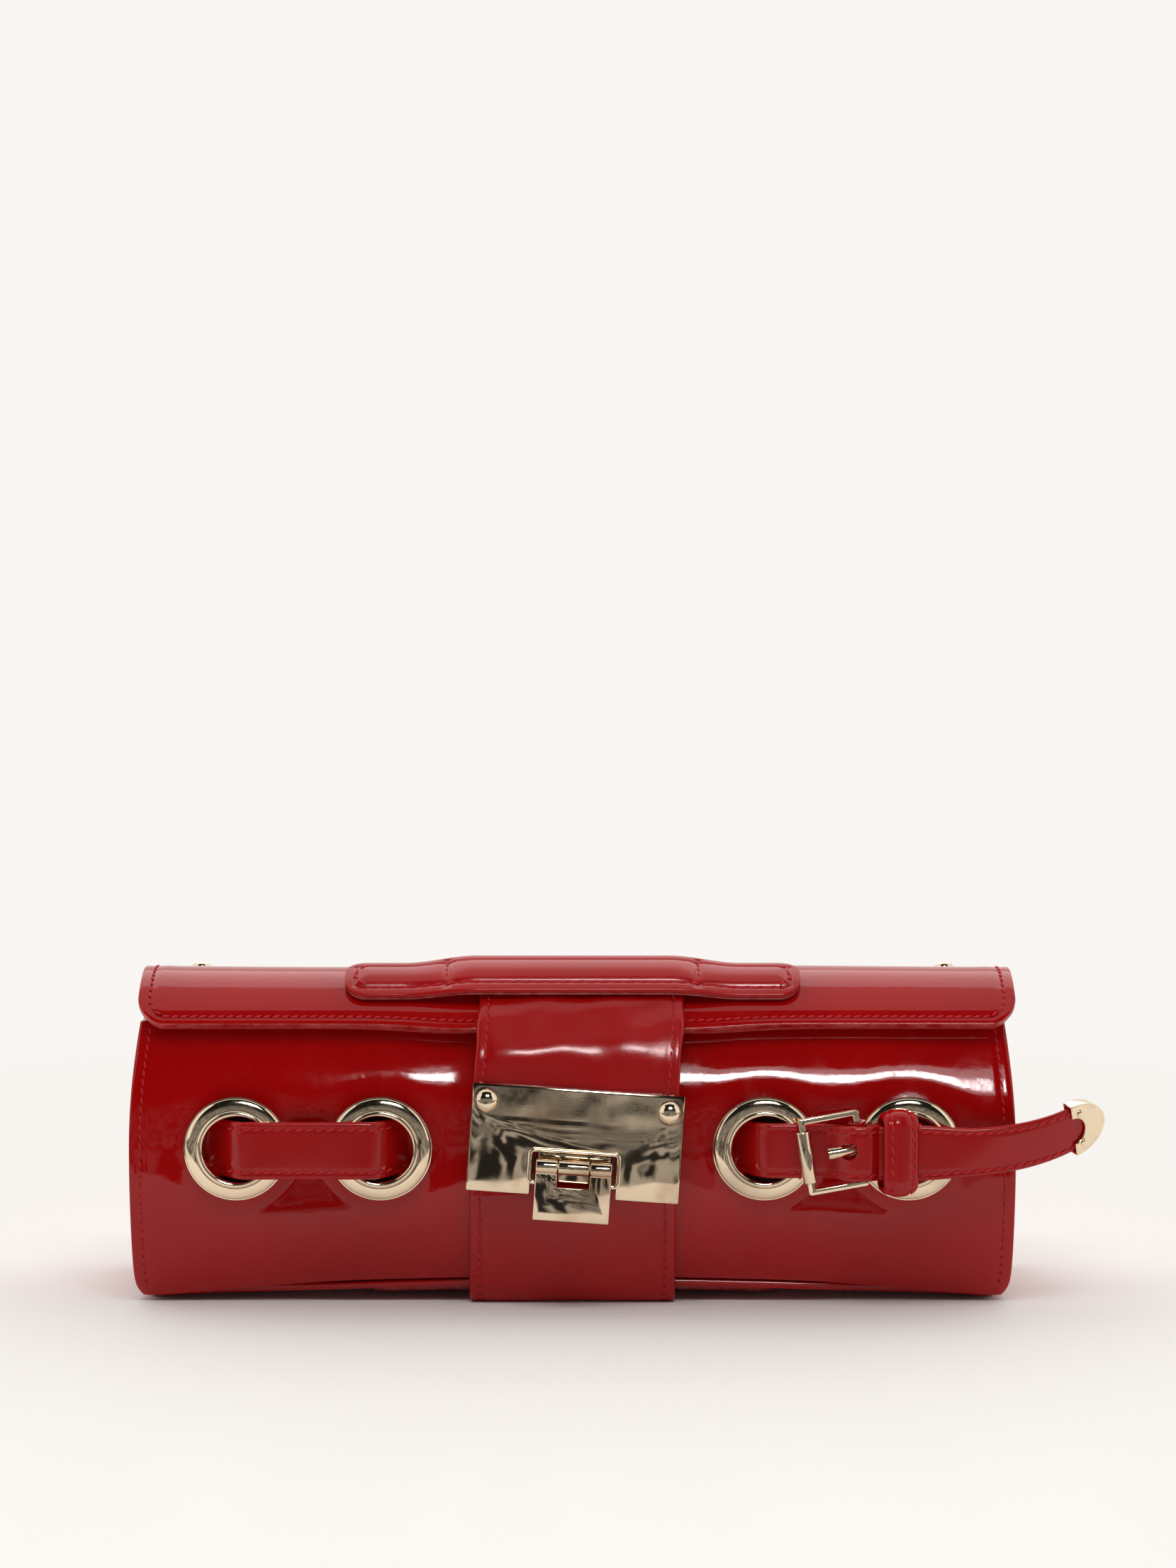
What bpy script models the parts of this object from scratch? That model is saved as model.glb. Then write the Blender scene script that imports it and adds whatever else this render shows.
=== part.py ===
"""Barrel clutch in patent leather with a flap, a flip lock and two belts laced through eyelets.

Metres, +Z up. The front faces -Y and +X is to the right of someone looking at the front.
The origin is on the table, under the middle of the closing strap.
"""
import math

import bmesh
import bpy
from mathutils import Matrix, Vector
from mathutils.geometry import interpolate_bezier

MM = 0.001

# Fits
FIT = 0.3 * MM                    # air left where two pieces are sewn, glued or seated
RUN = 0.3 * MM                    # air around a pin, bar or roller that turns
MERGE = 0.01 * MM                 # points closer than this are one point

# Barrel-shaped body
BODY_LENGTH = 250 * MM            # across the widest part of both ends
BODY_DEPTH = 64 * MM              # front leather to back leather at the waist
WAIST_HEIGHT = 42 * MM            # height of the deepest line above the table
CROWN_RISE = 46.5 * MM            # waist to the top of the barrel's curve
ROOT_DROP = 64 * MM               # waist to the lower pole of the barrel's curve
END_PINCH = 3.5 * MM              # how far the ends draw in above and below the waist
BASE_ARCH = 4.4 * MM              # how far the base hollows up between its ends
WALL = 2 * MM                     # body leather
BASE_THICKNESS = 2.2 * MM         # base leather
RIM_ANGLE = math.radians(52)      # front leather stops here, above the waist
HINGE_ANGLE = math.radians(48)    # back leather stops here, above the waist
HINGE_ROOM = 3 * MM               # end panels and lining stop this far below the flap's hinge

# Inside the body
GUSSET_THICKNESS = 1.6 * MM
GUSSET_FLANGE = 6.5 * MM          # turned edge of an end panel
GUSSET_BULGE = 2.2 * MM
GUSSET_CROWN = 4 * MM             # rise of an end panel between front and back rims
LINING_THICKNESS = 0.9 * MM
LINING_ROOM = 5.4 * MM            # space behind the front leather for the belt ends
BOARD_THICKNESS = 1.6 * MM
BOARD_MARGIN = 6 * MM
POCKET_LENGTH = 120 * MM
POCKET_BOTTOM = 24 * MM
POCKET_TOP = 60 * MM
POCKET_THICKNESS = 0.8 * MM

# Flap and its handle
FLAP_INSET = 2 * MM               # ends of the flap inside the ends of the body
FLAP_THICKNESS = 2.4 * MM
FLAP_LINING_THICKNESS = 1 * MM
FLAP_LINING_INSET = 1 * MM
FLAP_STANDOFF = 5 * MM            # outer face of the flap above the barrel at the front edge
FLAP_EDGE_ANGLE = math.radians(45)
FLAP_CORNER = 9 * MM
HANDLE_LENGTH = 127 * MM
HANDLE_BACK = math.radians(78)
HANDLE_FRONT = math.radians(56)
HANDLE_CORNER = 6 * MM
HANDLE_BACKING = 1.1 * MM
HANDLE_EDGE = 0.9 * MM            # padding left at the sewn edge
HANDLE_CROWN = 0.9 * MM           # extra padding in the middle of a cushion
HANDLE_SEAM = 35 * MM             # cross seams on either side of the middle cushion
HANDLE_PINCH = 6 * MM             # run over which a cushion rises beside a seam
STUD_INSET = 19 * MM              # studs at the back of the flap, in from the ends of the body
STUD_ANGLE = math.radians(105)
STUD_RADIUS = 3 * MM
STUD_HEIGHT = 2.3 * MM
SHANK_RADIUS = 1.1 * MM
WASHER_RADIUS = 2.3 * MM
WASHER_THICKNESS = 0.6 * MM

# Closing strap down the middle
STRAP_WIDTH = 57 * MM
STRAP_THICKNESS = 2 * MM
STRAP_TAIL = 14 * MM              # how far it runs under the base behind the middle
STRAP_BEND = 3.5 * MM             # bend at the front edge of the base
STRAP_LAP = 5.2 * MM              # lower part's top edge above the middle of the lock plate
STRAP_UPPER_START = math.radians(99)
PATCH_LENGTH = 118 * MM
PATCH_DEPTH = 38 * MM
PATCH_THICKNESS = 1.8 * MM
PATCH_CORNER = 9 * MM

# Flip lock
LOCK_X = 0.9 * MM
LOCK_HEIGHT = 46.8 * MM           # middle of the lock plate above the table
LOCK_TILT = math.radians(3.9)     # the lock sits a little clockwise
LOCK_LEAN = math.radians(5)
PLATE_WIDTH = 58.5 * MM
PLATE_HEIGHT = 29.6 * MM
PLATE_THICKNESS = 1.4 * MM
WINDOW_WIDTH = 23.4 * MM
WINDOW_TOP = 2.9 * MM             # below the middle of the plate
WINDOW_DEPTH = 8.4 * MM
WINDOW_RIM = 1.2 * MM
WINDOW_RIM_HEIGHT = 0.6 * MM
RIVET_SIDE = 4.1 * MM             # rivet to the side edge of the plate
RIVET_TOP = 4.6 * MM              # rivet to the top edge of the plate
RIVET_RADIUS = 3.1 * MM
RIVET_HEIGHT = 2.5 * MM
PIN_DROP = 6.6 * MM               # pin below the middle of the plate
PIN_RADIUS = 0.8 * MM
KNUCKLE_RADIUS = 2.1 * MM
KNUCKLE_WIDTH = 8.4 * MM
TONGUE_WIDTH = 20.8 * MM
TONGUE_REACH = 14.8 * MM          # pin to the lower edge of the tongue
TONGUE_THICKNESS = 1.7 * MM
TONGUE_NOTCH = 5.6 * MM           # pin to the bottom of the notch
HASP_HEIGHT = 6.4 * MM
HASP_THICKNESS = 1.2 * MM
HASP_POST = 3.2 * MM              # thickness of the post under the middle knuckle
HASP_TAIL_SPREAD = 14 * MM
HASP_TAIL_RADIUS = 1.1 * MM
BACKPLATE_THICKNESS = 1 * MM

# Eyelets and belts
EYELET_SHIFT = 3.9 * MM           # middle of a pair, inward from the middle of the bare leather
EYELET_PITCH = 39.7 * MM          # between the two eyelets of a belt
EYELET_HEIGHT = 44.4 * MM
EYELET_FACE = 4.6 * MM            # width of the domed face
EYELET_LIP = 0.8 * MM             # thin outer lip
EYELET_DOME = 2.4 * MM
EYELET_TUBE = 0.7 * MM
EYELET_WASHER = 1.8 * MM
EYELET_WASHER_DEPTH = 0.8 * MM
BELT_WIDTH = 15.2 * MM
BELT_THICKNESS = 1.8 * MM
BELT_PLAY = 1.4 * MM              # eyelet bore beyond the belt's edge
BELT_RAMP = 4.7 * MM              # half the run over which a belt dives through an eyelet
BELT_INNER = 12 * MM              # belt end sewn down inside
BUCKLE_BELT_THICKNESS = 1.6 * MM

# Buckle, keeper and belt tail
BAR_REACH = 26 * MM               # hidden bar of the buckle, out from the inner eyelet
BUCKLE_LENGTH = 15.2 * MM         # between the two bars
BUCKLE_ROLL = math.radians(9)
BUCKLE_BAR = 1.6 * MM
BUCKLE_PLAY = 1.5 * MM            # inside of the frame beyond the belt's edge
ROLLER_LENGTH = 14.4 * MM
ROLLER_WALL = 0.6 * MM
EYE_WALL = 1.1 * MM
PRONG_WIDTH = 3 * MM
PRONG_THICKNESS = 1.2 * MM
PRONG_EYE_WALL = 0.9 * MM
PRONG_REACH = 9.6 * MM
KEEPER_REACH = 10.3 * MM          # middle of the keeper, out from the hidden bar
KEEPER_WIDTH = 7 * MM
KEEPER_THICKNESS = 1.2 * MM
KEEPER_PLAY = 1.4 * MM            # inside of the keeper beyond the belt's edge
KEEPER_TRAVEL = 1 * MM            # how far it can slide towards the tail
TURN_REACH = 2.8 * MM             # the buckle's belt goes straight in this far past its eyelet's middle
TURN_RADIUS = 2 * MM
TAIL_WIDTH = 13.4 * MM            # the belt narrows to this past the keeper
TAIL_NARROWING = 0.4              # share of the bend over which it narrows
TAIL_RUN = 43 * MM                # bending part of the tail, along X
TAIL_RISE = 5.4 * MM
TAIL_SWEEP = 7.6 * MM             # how far the tail curls back
TAIL_ROLL = math.radians(13)
CAP_LENGTH = 10 * MM
CAP_WALL = 0.7 * MM
CAP_NOTCH = 3.4 * MM
CAP_RIVET_ACROSS = 9.2 * MM
CAP_RIVET_ALONG = 2.2 * MM
CAP_RIVET_RADIUS = 0.7 * MM
CAP_RIVET_HEAD = 1.2 * MM
CAP_RIVET_PROUD = 0.4 * MM

# Colours, roughness and metalness
LEATHER = ((0.258, 0.005, 0.006), 0.12, 0.0)
LEATHER_EDGE = ((0.230, 0.012, 0.012), 0.4, 0.0)
LINING_CLOTH = ((0.16, 0.02, 0.025), 0.9, 0.0)
BOARD_GREY = ((0.30, 0.27, 0.23), 0.9, 0.0)
PALE_GOLD = ((0.72, 0.62, 0.46), 0.15, 1.0)
DARK_GOLD = ((0.50, 0.43, 0.32), 0.3, 1.0)

HALF = 0.5
QUARTER_TURN = math.pi / 2
ROUND_STEPS = 24
SMALL_STEPS = 16

for old in list(bpy.data.objects):
    bpy.data.objects.remove(old, do_unlink=True)

PARTS = bpy.data.collections.new("barrel_clutch")
CUTTERS = bpy.data.collections.new("cutters")
bpy.context.scene.collection.children.link(PARTS)
bpy.context.scene.collection.children.link(CUTTERS)


def spread(first, last, count):
    """Evenly spaced values from first to last."""
    return [first + (last - first) * i / (count - 1) for i in range(count)]


def ease(value):
    """Smooth step from 0 to 1."""
    value = min(max(value, 0.0), 1.0)
    return value * value * (3 - 2 * value)


def finish(name, mesh, look, parent, smooth):
    """Wrap a mesh as a named part with its own material."""
    colour, roughness, metallic = look
    material = bpy.data.materials.new(name)
    material.use_nodes = True
    shader = material.node_tree.nodes["Principled BSDF"]
    shader.inputs["Base Color"].default_value = (*colour, 1)
    shader.inputs["Roughness"].default_value = roughness
    shader.inputs["Metallic"].default_value = metallic
    mesh.materials.append(material)
    for face in mesh.polygons:
        face.use_smooth = smooth
    part = bpy.data.objects.new(name, mesh)
    part.parent = parent
    PARTS.objects.link(part)
    return part


def to_mesh(name, bm):
    """Close a bmesh with its faces pointing outward."""
    bmesh.ops.recalc_face_normals(bm, faces=bm.faces)
    mesh = bpy.data.meshes.new(name)
    bm.to_mesh(mesh)
    bm.free()
    return mesh


def axis_empty(name, matrix, parent=None):
    """Empty on a joint's axis, placed in the world by a matrix."""
    empty = bpy.data.objects.new(name, None)
    empty.empty_display_size = BODY_DEPTH / 4
    PARTS.objects.link(empty)
    if parent is None:
        empty.matrix_world = matrix
    else:
        empty.parent = parent
        empty.matrix_local = parent.matrix_world.inverted() @ matrix
    bpy.context.view_layer.update()
    return empty


def in_frame(mesh, parent):
    """Move a mesh written in world coordinates into its parent's frame."""
    if parent is not None:
        mesh.transform(parent.matrix_world.inverted())
    return mesh


def skin_mesh(name, outer, inner):
    """Closed solid lofted between two grids of points."""
    bm = bmesh.new()
    rows, columns = len(outer), len(outer[0])
    top = [[bm.verts.new(p) for p in row] for row in outer]
    low = [[bm.verts.new(p) for p in row] for row in inner]
    for i in range(rows - 1):
        for j in range(columns - 1):
            bm.faces.new((top[i][j], top[i][j + 1], top[i + 1][j + 1], top[i + 1][j]))
            bm.faces.new((low[i][j], low[i + 1][j], low[i + 1][j + 1], low[i][j + 1]))
    border = [(0, j) for j in range(columns - 1)]
    border += [(i, columns - 1) for i in range(rows - 1)]
    border += [(rows - 1, j) for j in range(columns - 1, 0, -1)]
    border += [(i, 0) for i in range(rows - 1, 0, -1)]
    for (i, j), (k, m) in zip(border, border[1:] + border[:1]):
        bm.faces.new((top[i][j], low[i][j], low[k][m], top[k][m]))
    return to_mesh(name, bm)


def skin(name, outer, inner, look, parent=None):
    """Leather piece between an outer and an inner grid."""
    return finish(name, in_frame(skin_mesh(name, outer, inner), parent), look, parent, True)


def prism_mesh(name, outline, push):
    """Outline swept along a vector."""
    bm = bmesh.new()
    face = bm.faces.new([bm.verts.new(p) for p in outline])
    swept = bmesh.ops.extrude_face_region(bm, geom=[face])
    moved = [v for v in swept["geom"] if isinstance(v, bmesh.types.BMVert)]
    bmesh.ops.translate(bm, verts=moved, vec=push)
    return to_mesh(name, bm)


def ribbon_mesh(name, frames, thickness):
    """Strap with a rectangular section along frames of centre, across, outward and half width."""
    bm = bmesh.new()
    rings = []
    for centre, across, outward, half in frames:
        lift = outward * thickness * HALF
        side = across * half
        corners = (centre + side + lift, centre - side + lift, centre - side - lift, centre + side - lift)
        rings.append([bm.verts.new(p) for p in corners])
    for a, b in zip(rings, rings[1:]):
        for i in range(4):
            j = (i + 1) % 4
            bm.faces.new((a[i], a[j], b[j], b[i]))
    bm.faces.new(rings[0])
    bm.faces.new(rings[-1])
    return to_mesh(name, bm)


def flat_frames(points, across, half, flip=1):
    """Frames for a strap whose path lies in a plane square to its width."""
    frames = []
    for i, point in enumerate(points):
        before = points[max(i - 1, 0)]
        after = points[min(i + 1, len(points) - 1)]
        tangent = (after - before).normalized()
        frames.append((point, across, across.cross(tangent) * flip, half))
    return frames


def cylinder_mesh(name, radius, length, matrix, steps=SMALL_STEPS):
    """Cylinder along local Z, centred and placed by a matrix."""
    bm = bmesh.new()
    bmesh.ops.create_cone(bm, cap_ends=True, segments=steps, radius1=radius, radius2=radius, depth=length)
    bmesh.ops.transform(bm, matrix=matrix, verts=bm.verts)
    return to_mesh(name, bm)


def box_mesh(name, low, high):
    """Block between two corners."""
    bm = bmesh.new()
    bmesh.ops.create_cube(bm, size=1)
    size = Vector(high) - Vector(low)
    centre = (Vector(high) + Vector(low)) * HALF
    bmesh.ops.transform(bm, matrix=Matrix.Translation(centre) @ Matrix.Diagonal((*size, 1)), verts=bm.verts)
    return to_mesh(name, bm)


def turned(name, profile, look, parent, matrix, closed=False, steps=ROUND_STEPS):
    """Profile of radius and height turned about local Z."""
    mesh = bpy.data.meshes.new(name)
    count = len(profile)
    edges = [(i, i + 1) for i in range(count - 1)]
    if closed:
        edges.append((count - 1, 0))
    mesh.from_pydata([(radius, 0, height) for radius, height in profile], edges, [])
    part = finish(name, mesh, look, parent, True)
    part.matrix_local = matrix
    screw = part.modifiers.new("turn", 'SCREW')
    screw.steps = steps
    screw.render_steps = steps
    screw.use_merge_vertices = True
    screw.merge_threshold = MERGE
    screw.use_smooth_shade = True
    return part


def helper(name, mesh, parent=None):
    """Hidden solid that only shapes another piece."""
    tool = bpy.data.objects.new(name, mesh)
    tool.parent = parent
    tool.hide_render = True
    tool.display_type = 'WIRE'
    CUTTERS.objects.link(tool)
    return tool


def combine(part, tool, operation='DIFFERENCE'):
    """Cut a hidden solid out of a part, or join it on."""
    change = part.modifiers.new(tool.name, 'BOOLEAN')
    change.operation = operation
    change.solver = 'EXACT'
    change.object = tool


def dome(radius, height, shank, length):
    """Profile of a domed rivet: head above zero, shank below."""
    rise = [(radius * math.sin(a), height * math.cos(a)) for a in spread(0, QUARTER_TURN, 5)]
    return rise + [(shank, 0), (shank, -length), (0, -length)]


def ring_profile(inner, outer, low, high):
    """Square ring section, outer side first."""
    return [(inner, high), (outer, high), (outer, low), (inner, low)]


# Shape of the barrel

def section(angle, offset=0.0):
    """Point of the barrel's outline at an angle up from the front waist, moved outward."""
    rise = CROWN_RISE if math.sin(angle) >= 0 else ROOT_DROP
    depth = BODY_DEPTH * HALF
    out = Vector((-math.cos(angle) / depth, math.sin(angle) / rise)).normalized()
    y = -depth * math.cos(angle) + out.x * offset
    z = WAIST_HEIGHT + rise * math.sin(angle) + out.y * offset
    return y, z


def angle_at(height):
    """Angle on the front outline at a height above the table."""
    rise = CROWN_RISE if height >= WAIST_HEIGHT else ROOT_DROP
    return math.asin((height - WAIST_HEIGHT) / rise)


def arch(x):
    """Height of the hollowed base."""
    return BASE_ARCH * max(0.0, 1 - (2 * x / BODY_LENGTH) ** 2)


SEAM_HEIGHT = BASE_THICKNESS + FIT
SEAM_ANGLE = angle_at(SEAM_HEIGHT)


def half_length(height):
    """Half length of the body at a height."""
    share = (height - WAIST_HEIGHT) / CROWN_RISE
    return BODY_LENGTH * HALF - END_PINCH * min(1.0, share * share)


def hollowed(point, rise):
    """Section point carried up with a base that is hollowed by a rise."""
    y, z = point
    fade = min(max((WAIST_HEIGHT - z) / (WAIST_HEIGHT - SEAM_HEIGHT), 0.0), 1.0)
    return y, z + rise * fade * fade


def body_point(share, angle, offset):
    """Point on the body leather at a share of its half length."""
    point = section(angle, offset)
    x = share * half_length(point[1])
    return Vector((x, *hollowed(point, arch(x))))


def body_grid(angles, shares, offset):
    """Rows of body points."""
    return [[body_point(s, a, offset) for s in shares] for a in angles]


BODY_SHARES = spread(-1, 1, 15)
FRONT_Y = -BODY_DEPTH * HALF


# Body leather

front_angles = spread(SEAM_ANGLE, RIM_ANGLE, 12)
front_panel = skin("front_panel", body_grid(front_angles, BODY_SHARES, 0),
                   body_grid(front_angles, BODY_SHARES, -WALL), LEATHER)

HINGE = math.pi - HINGE_ANGLE
hinge_y, hinge_z = section(HINGE)
HINGE_SLOT = FIT / CROWN_RISE
BACK_RIM = HINGE + HINGE_ROOM / CROWN_RISE
back_angles = spread(HINGE + HINGE_SLOT, math.pi - SEAM_ANGLE, 12)
skin("back_panel", body_grid(back_angles, BODY_SHARES, 0), body_grid(back_angles, BODY_SHARES, -WALL), LEATHER)


def base_grid(half_depth, length, height, rows=5, columns=15):
    """Sheet that follows the hollow of the base."""
    grid = []
    for y in spread(-half_depth, half_depth, rows):
        grid.append([Vector((x, y, height + arch(x))) for x in spread(-length, length, columns)])
    return grid


base_half = -section(SEAM_ANGLE)[0]
base_reach = half_length(0)
skin("base_panel", base_grid(base_half, base_reach, 0),
     base_grid(base_half, base_reach, BASE_THICKNESS), LEATHER)

# End panels: a bulged plate with its edge turned outward along the body leather

plate_x = half_length(WAIST_HEIGHT) - GUSSET_FLANGE - GUSSET_BULGE
GUSSET_INSET = WALL + FIT


def gusset_outline():
    """Closed outline of an end panel, from the front floor over the top to the back floor."""
    low = angle_at(SEAM_HEIGHT + FIT)
    rise = arch(plate_x)
    points = [hollowed(section(a, -GUSSET_INSET), rise) for a in spread(low, RIM_ANGLE, 9)]
    back = [hollowed(section(a, -GUSSET_INSET), rise) for a in spread(BACK_RIM, math.pi - low, 9)]
    for share in (0.25, 0.5, 0.75):
        y = points[8][0] * (1 - share) + back[0][0] * share
        z = points[8][1] * (1 - share) + back[0][1] * share
        points.append((y, z + GUSSET_CROWN * math.sin(math.pi * share)))
    points += back
    for share in (0.25, 0.5, 0.75):
        points.append((back[8][0] * (1 - share) + points[0][0] * share, points[0][1]))
    return points


def gusset(name, side):
    """End panel on one side."""
    outline = gusset_outline()
    bm = bmesh.new()
    rings = [[bm.verts.new((side * (half_length(z) - FIT), y, z)) for y, z in outline]]
    for share in (1.0, 0.75, 0.4):
        x = side * (plate_x + GUSSET_BULGE * (1 - share * share))
        rings.append([bm.verts.new((x, y * share, WAIST_HEIGHT + (z - WAIST_HEIGHT) * share))
                      for y, z in outline])
    count = len(outline)
    for a, b in zip(rings, rings[1:]):
        for i in range(count):
            j = (i + 1) % count
            bm.faces.new((a[i], a[j], b[j], b[i]))
    bm.faces.new(rings[-1])
    bmesh.ops.recalc_face_normals(bm, faces=bm.faces)
    if rings[-1][0].link_faces[-1].normal.x * side < 0:
        bmesh.ops.reverse_faces(bm, faces=bm.faces)
    mesh = bpy.data.meshes.new(name)
    bm.to_mesh(mesh)
    bm.free()
    part = finish(name, mesh, LEATHER, None, True)
    shell = part.modifiers.new("leather", 'SOLIDIFY')
    shell.thickness = GUSSET_THICKNESS
    shell.offset = 1
    shell.use_even_offset = True


gusset("end_panel_left", -1)
gusset("end_panel_right", 1)

# Stiffening board, lining and slip pocket

board_half = base_half - BOARD_MARGIN
board_length = plate_x - BOARD_MARGIN
board_low = BASE_THICKNESS + FIT
skin("base_board", base_grid(board_half, board_length, board_low),
     base_grid(board_half, board_length, board_low + BOARD_THICKNESS), BOARD_GREY)

lining_floor = board_low + BASE_ARCH + BOARD_THICKNESS + FIT
rim_height = section(RIM_ANGLE)[1]
belt_zone = EYELET_HEIGHT + BELT_WIDTH


def lining_inset(height):
    """How far the front lining stands behind the outside of the leather."""
    room = ease((rim_height - height) / (rim_height - belt_zone))
    return WALL + FIT + LINING_ROOM * room


def lining_outline(extra, floor, top):
    """Section of the lining tub."""
    points = []
    low = angle_at(floor - BASE_ARCH)
    for angle in spread(low, RIM_ANGLE, 12):
        inset = lining_inset(section(angle)[1]) + extra
        points.append(hollowed(section(angle, -inset), BASE_ARCH))
    points[0] = (points[0][0], floor)
    points.append((points[-1][0], points[-1][1] + top))
    inset = WALL + FIT + extra
    back = [hollowed(section(a, -inset), BASE_ARCH) for a in spread(BACK_RIM, math.pi - low, 12)]
    back[-1] = (back[-1][0], floor)
    points.append((back[0][0], back[0][1] + top))
    return points + back


def cross_prism(name, outline, half):
    """Section swept along X from -half to half."""
    return prism_mesh(name, [(-half, y, z) for y, z in outline], (2 * half, 0, 0))


lining_half = plate_x - FIT
lining = finish("lining", cross_prism("lining", lining_outline(0, lining_floor, FIT), lining_half),
                LINING_CLOTH, None, False)
lining_inside = lining_outline(LINING_THICKNESS, lining_floor + LINING_THICKNESS, CROWN_RISE)
combine(lining, helper("lining_hollow", cross_prism("lining_hollow", lining_inside,
                                                    lining_half - LINING_THICKNESS)))

pocket_inset = WALL + FIT + LINING_THICKNESS + FIT
pocket_angles = spread(math.pi - angle_at(POCKET_TOP), math.pi - angle_at(POCKET_BOTTOM), 6)


def pocket_grid(inset):
    """Sheet along the back lining."""
    grid = []
    for angle in pocket_angles:
        y, z = hollowed(section(angle, -inset), BASE_ARCH)
        grid.append([Vector((x, y, z)) for x in (-POCKET_LENGTH * HALF, 0, POCKET_LENGTH * HALF)])
    return grid


skin("slip_pocket", pocket_grid(pocket_inset), pocket_grid(pocket_inset + POCKET_THICKNESS), LINING_CLOTH)

# Flap, turning about the outer edge of the back leather

flap_axis = axis_empty("flap_axis", Matrix.Translation((0, hinge_y, hinge_z)))
edge_radius = BODY_DEPTH * HALF + FLAP_STANDOFF


def flap_offset(angle):
    """Outer face of the flap above the barrel."""
    return FLAP_STANDOFF * (HINGE - angle) / (HINGE - FLAP_EDGE_ANGLE)


def trimmed(half, corner, distance):
    """Half length of a sheet near an edge with rounded corners."""
    short = max(corner - distance, 0.0)
    return half - corner + math.sqrt(max(corner * corner - short * short, 0.0))


def flap_grid(angles, half, inset, edge):
    """Rows of flap points at a depth below its outer face."""
    grid = []
    for angle in angles:
        reach = trimmed(half, FLAP_CORNER, (angle - edge) * edge_radius + FIT)
        y, z = section(angle, flap_offset(angle) - inset)
        grid.append([Vector((s * reach, y, z)) for s in BODY_SHARES])
    return grid


edge_rows = spread(FLAP_EDGE_ANGLE, FLAP_EDGE_ANGLE + FLAP_CORNER / edge_radius, 5)
flap_angles = edge_rows[:-1] + spread(edge_rows[-1], HINGE - HINGE_SLOT, 10)
flap_half = BODY_LENGTH * HALF - FLAP_INSET
flap_shell = skin("flap_shell", flap_grid(flap_angles, flap_half, 0, FLAP_EDGE_ANGLE),
                  flap_grid(flap_angles, flap_half, FLAP_THICKNESS, FLAP_EDGE_ANGLE), LEATHER, flap_axis)

lining_top = FLAP_THICKNESS + FIT
inner_edge = FLAP_EDGE_ANGLE + FLAP_LINING_INSET / edge_radius
inner_rows = spread(inner_edge, inner_edge + FLAP_CORNER / edge_radius, 5)
inner_angles = inner_rows[:-1] + spread(inner_rows[-1], HINGE - 2 * HINGE_SLOT, 8)
inner_half = flap_half - FLAP_LINING_INSET
flap_lining = skin("flap_lining", flap_grid(inner_angles, inner_half, lining_top, inner_edge),
                   flap_grid(inner_angles, inner_half, lining_top + FLAP_LINING_THICKNESS, inner_edge),
                   LINING_CLOTH, flap_axis)

# Studs at the back of the flap, each closed by a washer inside

flap_stack = FLAP_THICKNESS + FIT + FLAP_LINING_THICKNESS


def stud(name, side):
    """Domed stud square to the flap."""
    y, z = section(STUD_ANGLE, flap_offset(STUD_ANGLE) + FIT)
    before = section(STUD_ANGLE - HINGE_SLOT, flap_offset(STUD_ANGLE - HINGE_SLOT) + FIT)
    out = Vector((0, before[1] - z, y - before[0])).normalized()
    turn = Vector((0, 0, 1)).rotation_difference(out).to_matrix().to_4x4()
    place = Matrix.Translation((side * (BODY_LENGTH * HALF - STUD_INSET), y, z)) @ turn
    local = flap_axis.matrix_world.inverted() @ place
    seat = flap_stack + 3 * FIT
    length = seat + WASHER_THICKNESS + FIT
    turned("flap_stud_" + name, dome(STUD_RADIUS, STUD_HEIGHT, SHANK_RADIUS, length), PALE_GOLD, flap_axis,
           local, steps=SMALL_STEPS)
    turned("flap_stud_washer_" + name, ring_profile(SHANK_RADIUS + FIT, WASHER_RADIUS,
                                                    -seat - WASHER_THICKNESS, -seat),
           DARK_GOLD, flap_axis, local, closed=True, steps=SMALL_STEPS)
    drill = helper("stud_hole_" + name, cylinder_mesh("stud_hole", SHANK_RADIUS + FIT, 4 * length, place))
    combine(flap_shell, drill)
    combine(flap_lining, drill)


stud("left", -1)
stud("right", 1)

# Padded handle over the flap

handle_radius = BODY_DEPTH * HALF + FLAP_STANDOFF
handle_rows = spread(HANDLE_FRONT, HANDLE_BACK, 9)
handle_half = HANDLE_LENGTH * HALF
strap_half = STRAP_WIDTH * HALF


def handle_lift(x):
    """Rise of the handle where it passes over the closing strap."""
    return (STRAP_THICKNESS + FIT) * ease((HANDLE_SEAM + FIT - abs(x)) / (HANDLE_SEAM - strap_half))


def handle_columns(reach):
    """Stations along the handle, closer together at the seams."""
    near = HANDLE_PINCH / 3
    stops = [reach, HANDLE_SEAM + HANDLE_PINCH, HANDLE_SEAM + near, HANDLE_SEAM, HANDLE_SEAM - near,
             strap_half, strap_half * HALF]
    return [-x for x in stops] + [0] + stops[::-1]


def handle_grid(height):
    """Rows of handle points, with a height above the flap given by station and row."""
    grid = []
    for angle in handle_rows:
        y_edge = min(angle - HANDLE_FRONT, HANDLE_BACK - angle) * handle_radius
        reach = trimmed(handle_half, HANDLE_CORNER, y_edge + FIT)
        row = []
        for x in handle_columns(reach):
            y, z = section(angle, flap_offset(angle) + FIT + handle_lift(x) + height(x, angle))
            row.append(Vector((x, y, z)))
        grid.append(row)
    return grid


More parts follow.
